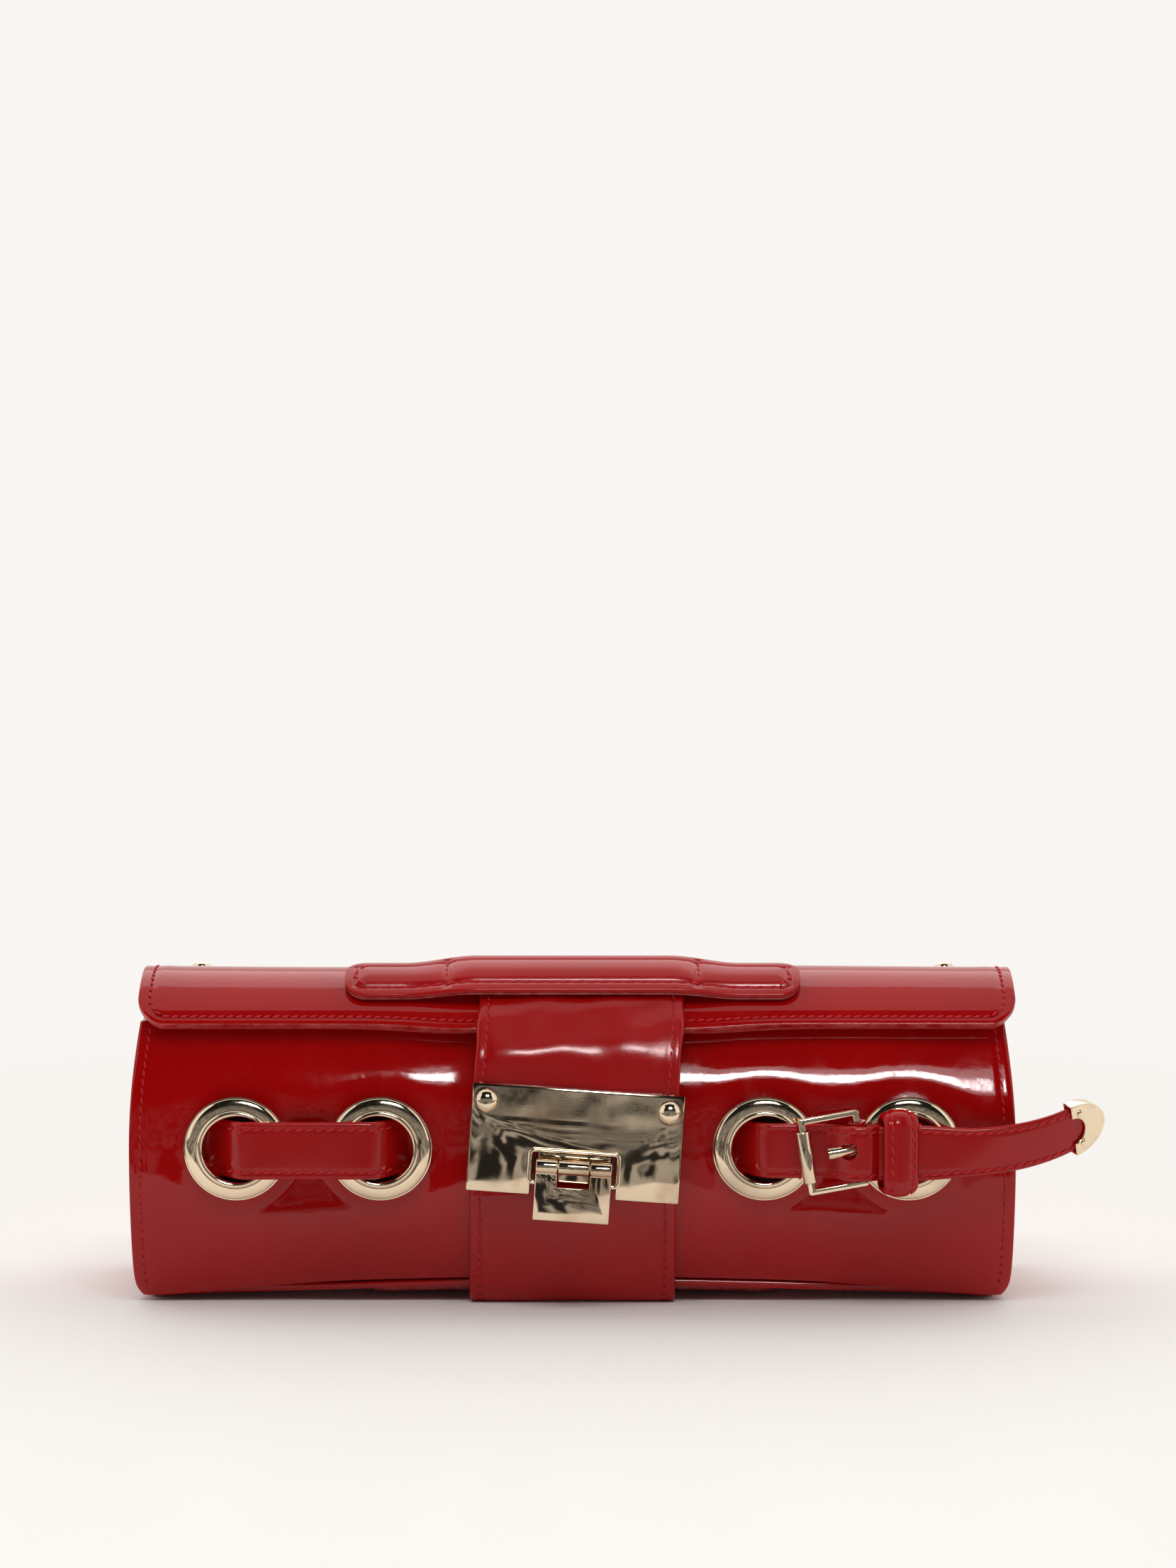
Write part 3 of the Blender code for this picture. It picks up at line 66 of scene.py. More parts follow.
# Barrel, in the frame's own sizes
HALF_LENGTH = 125 * MM
HALF_DEPTH = 32 * MM
WAIST = 42 * MM
CROWN_RISE = 46.5 * MM
ROOT_DROP = 64 * MM
END_PINCH = 3.5 * MM
END_TUCK = 2.5 * MM
LOW_PINCH = 0.2
HEM_TUCK = 3.4 * MM
BASE_ARCH = 4.4 * MM
BASE_THICK = 2.2 * MM
SEAM_HEIGHT = 2.5 * MM
RIM_ANGLE = 52 * DEG
HINGE = math.pi - 48 * DEG
FIT = 0.3 * MM
WALL = 2 * MM

# Flap and handle
FLAP_EDGE = 45 * DEG
FLAP_STANDOFF = 5 * MM
LIP_ANGLE = 45.1 * DEG
FLAP_HALF = 122 * MM
FLAP_SHIFT = 1.2 * MM
FLAP_CORNER = 9 * MM
FLAP_RADIUS = HALF_DEPTH + FLAP_STANDOFF
FLAP_THICK = 2.4 * MM
LIP_INSET = 2.1 * MM
HANDLE_HALF = 63.5 * MM
HANDLE_FRONT = 56 * DEG
HANDLE_BACK = 78 * DEG
HANDLE_WIDTH = 14.2 * MM
HANDLE_SEAM = 35 * MM
HANDLE_INSET = 2.9 * MM
HANDLE_EDGE = 1.25 * MM
HANDLE_CORNER = 6 * MM
BACKING_THICK = 1.2 * MM

# Closing strap and lock
STRAP_HALF = 28.5 * MM
STRAP_THICK = 2 * MM
SEAT_Y = -HALF_DEPTH - 2 * (FIT + STRAP_THICK)
LOCK_HEIGHT = 46.8 * MM
LOCK_LEAN = 5 * DEG
PLATE_HALF_W = 29.25 * MM
PLATE_HALF_H = 14.8 * MM
PLATE_TAPER = 0.03
WINDOW_HALF = 11.7 * MM
WINDOW_TOP = -2.9 * MM
RIVET_X = 25.15 * MM
RIVET_Z = 10.2 * MM
PLATE_FRONT = -1.7 * MM
PIN_BORE = 1.1 * MM
KNUCKLE = 2.1 * MM
TONGUE_HALF = 10.4 * MM
TONGUE_LENGTH = 14.8 * MM
HASP_HALF = 4.2 * MM
STRAP_INSET = 2.9 * MM
STUD_ANGLE = 105 * DEG
STUD_X = 106 * MM
LOCK = (Matrix.Translation((0.9 * MM, SEAT_Y, LOCK_HEIGHT)) @ Matrix.Rotation(-LOCK_LEAN, 4, 'X')
        @ Matrix.Rotation(3.9 * DEG, 4, 'Y'))
PIN_Y = -3.45 * MM
PIN_Z = -6.6 * MM
PIN = LOCK @ Matrix.Translation((0, PIN_Y, PIN_Z))

# Eyelets and belts
EYELET_HEIGHT = 44.4 * MM
OUTER_EYELET = 92.7 * MM
INNER_EYELET = 53 * MM
EYELETS = {"a": -OUTER_EYELET, "b": -INNER_EYELET, "c": INNER_EYELET, "d": OUTER_EYELET}
BELT_HALF = 7.6 * MM
BELT_THICK = 1.8 * MM
BELT_RAMP = 5.8 * MM
BELT_OUT = -35.9 * MM
BELT_IN = -25.9 * MM
UNDER_Y = -37.3 * MM
OVER_Y = -39.3 * MM
BAR_X = 79 * MM
KEEPER_X = 89.2 * MM
KEEPER_HALF = 4.95 * MM
KEEPER_SEAM = 2.9 * MM
KEEPER_TURN = 13 * DEG
EYE_RADIUS = 2.53 * MM
TAIL_START = 94.4 * MM
TAIL_SCALE = 13.4 / 15.2
TAIL_RUN = 43 * MM
TAIL_BACK = 7.6 * MM
TAIL_UP = 5.4 * MM
TAIL_ROLL = 13 * DEG
TAIL_TIP = 9 * MM
BELT_INSET = 1.7 * MM
BELT_STITCH = 2.9 * MM
BAR_RADIUS = 1.43 * MM
BUCKLE_LENGTH = 15.2 * MM
BUCKLE_HALF = 10.7 * MM
BUCKLE_BAR = 0.9 * MM
ROLLER_HALF = 7.2 * MM
BUCKLE_ROLL = 9 * DEG
BUCKLE = (Matrix.Translation((BAR_X, UNDER_Y, EYELET_HEIGHT + BUCKLE_LENGTH / 2 * math.sin(BUCKLE_ROLL)))
          @ Matrix.Rotation(6.92 * DEG, 4, 'Z') @ Matrix.Rotation(-BUCKLE_ROLL, 4, 'Y'))

# Lining
LINING_HALF = 115.6 * MM
POCKET_HALF = 60 * MM
POCKET_TOP = 60 * MM
POCKET_LOW = 24 * MM

UP = np.array((0.0, 0.0, 1.0))
BAG_MIDDLE = np.array((0.0, 0.0, WAIST))
FORWARD = Matrix.Rotation(math.pi / 2, 4, 'X')
SIDEWAYS = Matrix.Rotation(math.pi / 2, 4, 'Y')
SIDES = ((-1, "left"), (1, "right"))


def length_setting(name, description, default):
    """Length in the sidebar."""
    return bpy.props.FloatProperty(name=name, description=description, default=default, unit='LENGTH')


def colour_setting(name, description, default):
    """Colour in the sidebar."""
    return bpy.props.FloatVectorProperty(
        name=name, description=description, subtype='COLOR', size=3, default=default)


class PurseSizes(bpy.types.PropertyGroup):
    """Sizes that a user may change."""
    stitch_pitch: length_setting("Stitch Pitch", "Distance between stitches on the body", 2.55 * MM)
    thread: length_setting("Thread", "Thickness of the sewing thread", 0.66 * MM)
    seam_inset: length_setting("Seam Inset", "Stitch line to the edge of the leather", 3.2 * MM)
    groove: length_setting("Groove", "How deep a seam pulls into the leather", 0.28 * MM)
    sag: length_setting("Sag", "How far the soft leather gives way between its seams", 0.9 * MM)
    cushion: length_setting("Cushion", "Height of the handle's padding", 0.8 * MM)


class PurseColours(bpy.types.PropertyGroup):
    """Colours that a user may change."""
    leather: colour_setting("Leather", "Lit patent leather", (0.42, 0.003, 0.0033))
    leather_deep: colour_setting("Deep Leather", "Darker patches of the leather", (0.35, 0.002, 0.0023))
    edge_paint: colour_setting("Edge Paint", "Painted cut edges", (0.52, 0.075, 0.068))
    thread: colour_setting("Thread", "Sewing thread", (0.66, 0.02, 0.028))
    lining: colour_setting("Lining", "Cloth inside", (0.17, 0.022, 0.026))
    metal: colour_setting("Metal", "Pale gold plating", (0.88, 0.72, 0.52))
    inner_metal: colour_setting("Inner Metal", "Plain washers and pins", (0.55, 0.45, 0.33))
    backdrop: colour_setting("Backdrop", "Paper behind the purse", (0.95, 0.925, 0.895))


# Shapes shared by the pieces

def ease(value):
    """Smooth step from 0 to 1."""
    value = np.clip(value, 0.0, 1.0)
    return value * value * (3 - 2 * value)


def bump(value, middle, width):
    """Soft hump of height 1."""
    return np.exp(-((value - middle) / width) ** 2)


def quarter_round(distance, width):
    """Height of a rounded edge: 0 at the edge, 1 from its width on."""
    return np.sqrt(np.maximum(0.0, 1 - (1 - np.clip(distance / width, 0, 1)) ** 2))


def section(angle, offset=0.0):
    """Outline of the barrel at an angle up from the front waist, moved outward."""
    sine, cosine = np.sin(angle), np.cos(angle)
    rise = np.where(sine >= 0, CROWN_RISE, ROOT_DROP)
    out_y, out_z = -cosine / HALF_DEPTH, sine / rise
    size = np.hypot(out_y, out_z)
    y = -HALF_DEPTH * cosine + out_y / size * offset
    z = WAIST + rise * sine + out_z / size * offset
    return y, z


def angle_at(height):
    """Angle on the front outline at a height."""
    rise = CROWN_RISE if height >= WAIST else ROOT_DROP
    return math.asin((height - WAIST) / rise)


SEAM_ANGLE = angle_at(SEAM_HEIGHT - FIT)
HEM_ANGLE = angle_at(0.7 * MM)


def hem_share(across):
    """How far the lower hem has dropped to the table, at a share of the half length."""
    return ease((across - 0.5) / 0.45)


def hem_angle(across):
    """Lower edge of the front and back leather."""
    return SEAM_ANGLE + (HEM_ANGLE - SEAM_ANGLE) * hem_share(across)


def arch(x):
    """Hollow of the base."""
    return BASE_ARCH * np.maximum(0.0, 1 - (x / HALF_LENGTH) ** 2)


def half_length(z):
    """Half length of the body at a height; the corners on the table are rounded off."""
    share = np.minimum(1.0, ((z - WAIST) / CROWN_RISE) ** 2)
    pinch = END_PINCH * np.where(z > WAIST, share, LOW_PINCH * share)
    corner = 3.2 * MM * np.exp(-np.maximum(z, 0.0) / (2.4 * MM))
    return HALF_LENGTH - END_TUCK - pinch - corner


def hollowed(z, rise):
    """Height carried up with the hollow of the base."""
    fade = np.clip((WAIST - z) / (WAIST - SEAM_HEIGHT), 0.0, 1.0)
    return z + rise * fade * fade


def flap_offset(angle):
    """Outer face of the flap above the barrel."""
    return FLAP_STANDOFF * (HINGE - angle) / (HINGE - FLAP_EDGE)


def trimmed(half, corner, distance):
    """Half length of a sheet near an edge with rounded corners."""
    short = np.maximum(corner - distance, 0.0)
    return half - corner + np.sqrt(np.maximum(corner * corner - short * short, 0.0))


def curved(share, start, leave, arrive, end):
    """Cubic curve with two control points."""
    rest = 1 - share
    return rest ** 3 * start + 3 * rest ** 2 * share * leave + 3 * rest * share ** 2 * arrive + share ** 3 * end


def round_cornered(left, right, half, corner, steps):
    """Rectangle with rounded corners, as pairs that run round it."""
    pairs = []
    for a, b, quarter in ((right - corner, half - corner, 0), (left + corner, half - corner, 1),
                          (left + corner, corner - half, 2), (right - corner, corner - half, 3)):
        for turn in np.linspace(quarter, quarter + 1, steps) * math.pi / 2:
            pairs.append((a + corner * math.cos(turn), b + corner * math.sin(turn)))
    return pairs


def unit(rows):
    """Rows brought to length 1."""
    return rows / np.linalg.norm(rows, axis=1)[:, None]


def run_of(path):
    """Distance along a line at each of its points."""
    return np.concatenate(((0,), np.cumsum(np.linalg.norm(np.diff(path, axis=0), axis=1))))


def read_at(distances, run, rows):
    """Rows read off at distances along a line."""
    return np.column_stack([np.interp(distances, run, rows[:, k]) for k in range(3)])


# Modelling steps

def only(piece):
    """Make a piece the one that is selected."""
    bpy.ops.object.select_all(action='DESELECT')
    piece.select_set(True)
    bpy.context.view_layer.objects.active = piece


def added(name, shape, **settings):
    """Add a primitive under a name."""
    bpy.ops.object.select_all(action='DESELECT')
    getattr(bpy.ops.mesh, f"primitive_{shape}_add")(**settings)
    piece = bpy.context.active_object
    piece.name = piece.data.name = name
    return piece


def edited(piece, **steps):
    """Run edit-mode steps, each on the whole mesh."""
    only(piece)
    bpy.ops.object.mode_set(mode='EDIT')
    for step, settings in steps.items():
        bpy.ops.mesh.select_all(action='SELECT')
        getattr(bpy.ops.mesh, step)(**settings)
    bpy.ops.object.mode_set(mode='OBJECT')
    return piece


def vectors(items, word):
    """Rows of three numbers read from a mesh's vertices or faces."""
    rows = np.empty(len(items) * 3)
    items.foreach_get(word, rows)
    return rows.reshape(-1, 3)


def points_of(piece):
    """Vertex places as an array."""
    return vectors(piece.data.vertices, "co")


def put(piece, places):
    """Set the vertex places."""
    piece.data.vertices.foreach_set("co", np.ascontiguousarray(places, dtype=float).ravel())
    piece.data.update()


def grid(name, across, along, place):
    """Grid primitive laid over a surface; place takes two shares from 0 to 1."""
    piece = added(name, "grid", x_subdivisions=across, y_subdivisions=along, size=2)
    flat = points_of(piece)
    put(piece, np.column_stack(place((flat[:, 0] + 1) / 2, (flat[:, 1] + 1) / 2)))
    return piece


def closed_up(piece, fill=False, merge=1e-6):
    """Weld the seam, close the ends and turn the faces outward."""
    steps = {"remove_doubles": {"threshold": merge}}
    if fill:
        steps["fill_holes"] = {"sides": 0}
    return edited(piece, **steps, normals_make_consistent={"inside": False})


def facing(piece, towards):
    """Turn an open sheet so that its faces point along a given field of directions."""
    faces = piece.data.polygons
    if np.sum(vectors(faces, "normal") * towards(vectors(faces, "center"))) < 0:
        edited(piece, flip_normals={})
    return piece


def outward(middles):
    """Directions away from the middle line of the bag."""
    away = middles - BAG_MIDDLE
    away[:, 0] = 0
    return away


def applied(piece, kind, **settings):
    """Add a modifier and apply it."""
    only(piece)
    change = piece.modifiers.new(kind.lower(), kind)
    for key, value in settings.items():
        setattr(change, key, value)
    bpy.ops.object.modifier_apply(modifier=change.name)
    return piece


def thick(piece, depth, round_edge=0.45 * MM, painted=False):
    """Give a sheet its thickness inward and round its cut edges, which may be painted."""
    if painted:
        for key in ("leather", "edge"):
            piece.data.materials.append(finish_of(key))
    applied(piece, 'SOLIDIFY', thickness=depth, offset=-1, use_even_offset=True,
            material_offset_rim=1 if painted else 0)
    return rounded(piece, round_edge, 60 * DEG)


def rounded(piece, width, angle=35 * DEG, segments=3):
    """Round the sharp edges."""
    return applied(piece, 'BEVEL', width=width, segments=segments, limit_method='ANGLE', angle_limit=angle)


def smooth(piece, angle=40 * DEG):
    """Smooth shading that keeps sharp edges."""
    only(piece)
    bpy.ops.object.shade_smooth_by_angle(angle=angle)
    return piece


def unevenness(places, amount, span, seed):
    """Slow uneven waves by which a soft piece gives way."""
    turn = np.random.default_rng(seed)
    give = np.zeros(len(places))
    for _ in range(7):
        lay = turn.normal(size=3)
        lay *= 2 * math.pi / span / np.linalg.norm(lay) * turn.uniform(0.6, 1.5)
        give += np.sin(places @ lay + turn.uniform(0, 2 * math.pi))
    return give * amount / 2.6


def softened(piece, *waves):
    """Move a soft piece along its normals by slow uneven waves."""
    places = points_of(piece)
    normals = vectors(piece.data.vertices, "normal")
    put(piece, places + normals * unevenness(places, *waves)[:, None])
    return piece


def carved(piece, tool, operation='DIFFERENCE'):
    """Cut a tool out of a piece, or join it on, and remove the tool."""
    applied(piece, 'BOOLEAN', object=tool, operation=operation, solver='EXACT')
    bpy.data.objects.remove(tool, do_unlink=True)
    return piece


def moved(piece, matrix):
    """Carry a mesh to its place."""
    piece.data.transform(matrix)
    piece.data.update()
    return piece


def cylinder(name, radius, length, matrix, sides=48):
    """Cylinder along its own Z, carried to its place."""
    return moved(added(name, "cylinder", vertices=sides, radius=radius, depth=length), matrix)


def block(name, low, high):
    """Block between two corners."""
    piece = added(name, "cube", size=1)
    low, high = np.array(low), np.array(high)
    put(piece, points_of(piece) * (high - low) + (low + high) / 2)
    return piece


def prism(name, outline, push):
    """Outline extruded along a vector."""
    piece = added(name, "circle", vertices=len(outline), fill_type='NGON')
    put(piece, outline)
    return edited(piece, extrude_region_move={"TRANSFORM_OT_translate": {"value": push}},
                  normals_make_consistent={"inside": False})


def turned(name, profile, matrix, sides=64, ring=True):
    """Profile of radius and height turned about its own Z."""
    profile = np.array(profile)
    if ring:
        profile = np.vstack((profile, profile[:1]))
    count = len(profile) - 1

    def place(u, v):
        row = profile[np.rint(v * count).astype(int)]
        return row[:, 0] * np.cos(u * 2 * np.pi), row[:, 0] * np.sin(u * 2 * np.pi), row[:, 1]

    piece = closed_up(grid(name, sides, count, place))
    return smooth(moved(piece, matrix), 50 * DEG)


def dome(radius, height, shank, length):
    """Rivet profile: a domed head with a rolled rim, and its shank."""
    turn = np.linspace(0, math.pi / 2, 10)
    head = [(radius * math.sin(a), height * (0.22 + 0.78 * math.cos(a))) for a in turn]
    rim = [(radius * 0.985, height * 0.06), (radius * 0.9, 0)]
    return head + rim + [(shank, 0), (shank, -length), (0, -length)]


def strap_loop(half, depth, inset, groove, crown=0.12 * MM, count=26):
    """Cross-section of a strap: rounded edges, a crowned face and a sunk stitch line near each edge."""
    width = -half * np.cos(np.pi * np.arange(count + 1) / count)
    edge = half - np.abs(width)
    body = depth / 2 * quarter_round(edge, depth / 2)
    face = body + crown * (1 - (width / half) ** 2) - groove * bump(edge, inset, 0.45 * MM) - crown
    return two_faced(width, face, -body)


def two_faced(width, face, back):
    """Section loop from the heights of its face and its back."""
    return np.vstack((np.column_stack((width, face)), np.column_stack((width, back))[-2:0:-1]))


def swept(name, path, across, out, loop, scale=None, ring=False):
    """Section loop carried along a path with given across and outward directions."""
    path, across, out = (np.asarray(a, dtype=float) for a in (path, across, out))
    scale = np.ones(len(path)) if scale is None else np.asarray(scale)
    loop = np.vstack((loop, loop[:1]))
    rows, count = len(path) - 1, len(loop) - 1

    def place(u, v):
        i, j = np.rint(u * rows).astype(int), np.rint(v * count).astype(int)
        spot = (path[i] + across[i] * (loop[j, 0] * scale[i])[:, None] + out[i] * loop[j, 1][:, None])
        return spot[:, 0], spot[:, 1], spot[:, 2]

    return smooth(closed_up(grid(name, rows, count, place), fill=not ring), 50 * DEG)


def directions(path, across):
    """Tangents and outward directions of a path whose across direction is given."""
    tangent = unit(np.gradient(np.asarray(path), axis=0))
    return tangent, unit(np.cross(across, tangent))


def stitch_count(run, pitch):
    """Number of stitches that fit a line."""
    return max(2, int(round(run[-1] / pitch)))


def sewn(name, lines, pitch, thread, slant=13 * DEG, length=None):
    """Rows of slanted stitches, copies of one short thread; a line is its points and outward directions."""
    length = pitch * 0.86 if length is None else length
    pattern = added(name, "uv_sphere", segments=8, ring_count=6, radius=1)
    shape = points_of(pattern)[:, (2, 0, 1)] * np.array((length / 2, thread / 2, thread * 0.42))
    faces = [list(face.vertices) for face in pattern.data.polygons]
    bpy.data.objects.remove(pattern, do_unlink=True)
    places, polygons = [], []
    for path, out in lines:
        path, out = np.asarray(path, dtype=float), np.asarray(out, dtype=float)
        run = run_of(path)
        count = stitch_count(run, pitch)
        at = (np.arange(count) + 0.5) * run[-1] / count
        tangent = unit(read_at(at + pitch / 4, run, path) - read_at(at - pitch / 4, run, path))
        normal = unit(read_at(at, run, out))
        lay = tangent * math.cos(slant) + np.cross(normal, tangent) * math.sin(slant)
        for spot, a, b, c in zip(read_at(at, run, path), lay, np.cross(normal, lay), normal):
            first = len(places) * len(shape)
            places.append(spot + shape[:, :1] * a + shape[:, 1:2] * b + shape[:, 2:] * c)
            polygons += [[first + k for k in face] for face in faces]
    mesh = bpy.data.meshes.new(name)
    mesh.from_pydata(np.concatenate(places).tolist(), [], polygons)
    piece = bpy.data.objects.new(name, mesh)
    bpy.context.scene.collection.objects.link(piece)
    only(piece)
    bpy.ops.object.shade_smooth()
    return closed_up(piece, merge=1e-9)


def pricked(name, lines, pitch, size=0.27 * MM):
    """Needle holes between the stitches of the same lines: shallow cups, painted near black as the shade inside
    the holes.
    """
    between = []
    for path, out in lines:
        path = np.asarray(path, dtype=float)
        run = run_of(path)
        shift = 0.5 * run[-1] / stitch_count(run, pitch)
        at = np.clip(run + shift, 0, run[-1] - 1e-6)
        last = max(int(np.searchsorted(run, run[-1] - shift)), 3)
        between.append((read_at(at, run, path)[:last], np.asarray(out)[:last]))
    return sewn(name, between, pitch, 1.7 * size, 0.0, 2 * size)


# Materials

def fresh(name):
    """New material with its Principled shader."""
    material = bpy.data.materials.new(name)
    material.use_nodes = True
    return material, material.node_tree, material.node_tree.nodes["Principled BSDF"]


def plug(tree, socket, value):
    """Link a socket to another one, or store a value in it."""
    if isinstance(value, bpy.types.NodeSocket):
        tree.links.new(value, socket)
    else:
        socket.default_value = value


def fed(tree, made, **inputs):
    """Set a node's inputs by name."""
    for key, value in inputs.items():
        plug(tree, made.inputs[key.replace("_", " ")], value)
    return made


def node(tree, kind, **inputs):
    """Add a node and set its inputs."""
    return fed(tree, tree.nodes.new(kind), **inputs)


def figured(tree, operation, *values):
    """Math on numbers or sockets."""
    made = tree.nodes.new("ShaderNodeMath")
    made.operation = operation
    for socket, value in zip(made.inputs, values):
        plug(tree, socket, value)
    return made.outputs["Value"]


def blended(tree, factor, first, last, output):
    """Mix two shaders into the output node."""
    blend = node(tree, "ShaderNodeMixShader", Fac=factor)
    tree.links.new(first, blend.inputs[1])
    tree.links.new(last, blend.inputs[2])
    tree.links.new(blend.outputs["Shader"], tree.nodes[output].inputs["Surface"])


def grain(tree, scale, detail=2.0, stretch=(1, 1, 1), roughness=0.5):
    """Noise on object coordinates."""
    spot = tree.nodes.new("ShaderNodeTexCoord").outputs["Object"]
    lay = node(tree, "ShaderNodeMapping", Vector=spot, Scale=stretch).outputs["Vector"]
    noise = node(tree, "ShaderNodeTexNoise", Vector=lay, Scale=scale, Detail=detail, Roughness=roughness)
    return noise.outputs["Fac"]


def ramp(tree, value, low, high, first, last):
    """Map a value from one range to another, clamped."""
    return node(tree, "ShaderNodeMapRange", Value=value, From_Min=low, From_Max=high, To_Min=first,
                To_Max=last).outputs["Result"]


def mixed(tree, factor, first, last):
    """Mix two colours."""
    mix = tree.nodes.new("ShaderNodeMix")
    mix.data_type = 'RGBA'
    tree.links.new(factor, mix.inputs["Factor"])
    for socket in mix.inputs:
        if socket.type == 'RGBA':
            socket.default_value = (*(first if socket.name == "A" else last), 1)
    return next(socket for socket in mix.outputs if socket.type == 'RGBA')


def relief(tree, layers):
    """Stack of bumps: height socket and its depth in metres."""
    normal = None
    for height, depth in layers:
        made = node(tree, "ShaderNodeBump", Height=height, Strength=1.0, Distance=depth)
        if normal is not None:
            tree.links.new(normal, made.inputs["Normal"])
        normal = made.outputs["Normal"]
    return normal


PLAIN = (1, 1, 1)


def finished(name, tints, patches, gloss, marks=(), **constants):
    """Material with two tints in patches, uneven gloss and stacked relief.

    A noise is written as the numbers that grain takes. Patches hold a noise and the range of it that counts;
    gloss holds a noise, its range and the roughness at both ends, or is one roughness; each mark holds a noise
    and a depth.
    """
    material, tree, shader = fresh(name)
    noise, low, high = patches
    constants["Base_Color"] = mixed(tree, ramp(tree, grain(tree, *noise), low, high, 0.0, 1.0), *tints)
    if isinstance(gloss, tuple):
        noise, *spread = gloss
        gloss = ramp(tree, grain(tree, *noise), *spread)
    if marks:
        constants["Normal"] = relief(tree, [(grain(tree, *noise), depth) for noise, depth in marks])
    fed(tree, shader, Roughness=gloss, **constants)
    return material


def patent_leather(name, colours, wave=0.28 * MM, peel=1.0, gloss=0.055):
    """Glossy coated leather: soft waves, orange peel, faint darker patches and hairline rub marks."""
    marks = (((26, 1.2), wave), ((210, 2, (1, 1, 1.6)), 0.02 * MM * peel),
             ((620, 2), 0.009 * MM * peel), ((2600, 1), 0.0022 * MM * peel))
    return finished(name, (colours.leather_deep, colours.leather), ((22, 3), 0.3, 0.72),
                    ((160, 4, (1, 1, 0.25), 0.65), 0.5, 0.85, gloss, gloss + 0.085), marks, IOR=1.41)


def painted_edge(name, colours):
    """Cut leather edge under edge paint."""
    return finished(name, (colours.leather_deep, colours.edge_paint), ((260, 3), 0.35, 0.7),
                    ((700, 3), 0.3, 0.7, 0.28, 0.5), (((1400, 3), 0.03 * MM),))


def suede(name, colours):
    """Unpolished leather inside the flap."""
    paler = tuple(0.5 * (a + b) for a, b in zip(colours.leather_deep, colours.edge_paint))
    return finished(name, (colours.leather_deep, paler), ((900, 4, PLAIN, 0.6), 0.3, 0.7),
                    ((300, 3), 0.3, 0.7, 0.5, 0.66), (((1500, 3), 0.04 * MM),), Specular_IOR_Level=0.3)


def sewing_thread(name, colours):
    """Twisted polyester thread."""
    darker = tuple(0.6 * c for c in colours.thread)
    return finished(name, (darker, colours.thread), ((2200, 2), 0.3, 0.7), ((900, 2), 0.3, 0.7, 0.38, 0.6),
                    (((3800, 2, (1, 1, 2)), 0.06 * MM),), Specular_IOR_Level=0.15)


def painted_hole_shade(name):
    """Near-black colour of the needle holes: painted shade inside the holes."""
    return finished(name, ((0.05, 0.001, 0.001), (0.1, 0.003, 0.003)), ((1800, 2), 0.3, 0.7), 0.8,
                    Specular_IOR_Level=0.1)


def lining_cloth(name, colours):
    """Woven lining."""
    lighter = tuple(1.35 * c for c in colours.lining)
    material = finished(name, (colours.lining, lighter), ((500, 3), 0.3, 0.7), ((60, 2), 0.3, 0.7, 0.72, 0.88),
                        Sheen_Weight=0.06)
    tree = material.node_tree
    spot = tree.nodes.new("ShaderNodeTexCoord").outputs["Object"]
    weave = []
    for turn in ((0, 0, 0), (0, 90 * DEG, 0)):
        lay = node(tree, "ShaderNodeMapping", Vector=spot, Rotation=turn).outputs["Vector"]
        wave = node(tree, "ShaderNodeTexWave", Vector=lay, Scale=420, Distortion=0.6, Detail=1.0)
        weave.append((wave.outputs["Fac"], 0.06 * MM))
    fed(tree, tree.nodes["Principled BSDF"], Normal=relief(tree, weave))
    return material


def plated_metal(name, tint, low=0.05, high=0.16, scratch=0.0012 * MM, tarnish_and_shade=None, wave=0.03 * MM):
    """Polished plating with handling marks: smudged gloss, fine scratches and darker blotches of slight
    tarnish; on the lock's plating the darker tint and blotches are also painted shade.
    """
    tarnish_and_shade = tarnish_and_shade or tuple(0.72 * c for c in tint)
    marks = (((700, 3, (6, 6, 0.5)), scratch), ((900, 3, (0.6, 6, 6)), scratch), ((45, 1), wave))
    return finished(name, (tint, tarnish_and_shade), ((75, 3), 0.52, 0.75),
                    ((120, 4, PLAIN, 0.6), 0.42, 0.72, low, high), marks, Metallic=1.0)


def board(name):
    """Pressed board."""
    return finished(name, ((0.25, 0.22, 0.18), (0.34, 0.31, 0.27)), ((400, 4), 0.3, 0.7), 0.9)


MATERIALS = {}


def finish_of(key):
    """Material by its finish, made once."""
    if not MATERIALS:
        colours = bpy.context.scene.purse_colours
        MATERIALS.update({
            "leather": patent_leather("patent_leather", colours),
            "strap": patent_leather("patent_strap", colours, 0.26 * MM, 2.4, 0.19),
            "pad": patent_leather("patent_pad", colours, 0.2 * MM, 1.2, 0.2),
            "edge": painted_edge("edge_paint", colours),
            "suede": suede("flap_suede", colours),
            "thread": sewing_thread("red_thread", colours),
            # Needle holes: painted shade, near black
            "hole": painted_hole_shade("painted_hole_shade"),
            "lining": lining_cloth("lining_cloth", colours),
            "metal": plated_metal("pale_gold", colours.metal),
            # Lock plating: a darker, browner copy of the pale gold with dark brown blotches, painted shade for
            # the dark reflections on the flat plate; the tongue, hasp and roller are dressed in it too
            "plate": plated_metal("pale_gold_plate", (0.76, 0.61, 0.44), 0.04, 0.12, 0.0008 * MM,
                                  (0.5, 0.35, 0.22), 0.4 * MM),
            "inner": plated_metal("inner_metal", colours.inner_metal, 0.2, 0.4),
            "board": board("stiffener_board"),
        })
    return MATERIALS[key]


SLOTS = {
    **dict.fromkeys(("leather", "strap", "pad", "thread", "hole"), "patent_leather"),
    **dict.fromkeys(("edge", "suede"), "backing_leather"),
    **dict.fromkeys(("metal", "plate"), "pale_gold"),
    "lining": "lining_cloth", "inner": "inner_metal", "board": "stiffener",
}


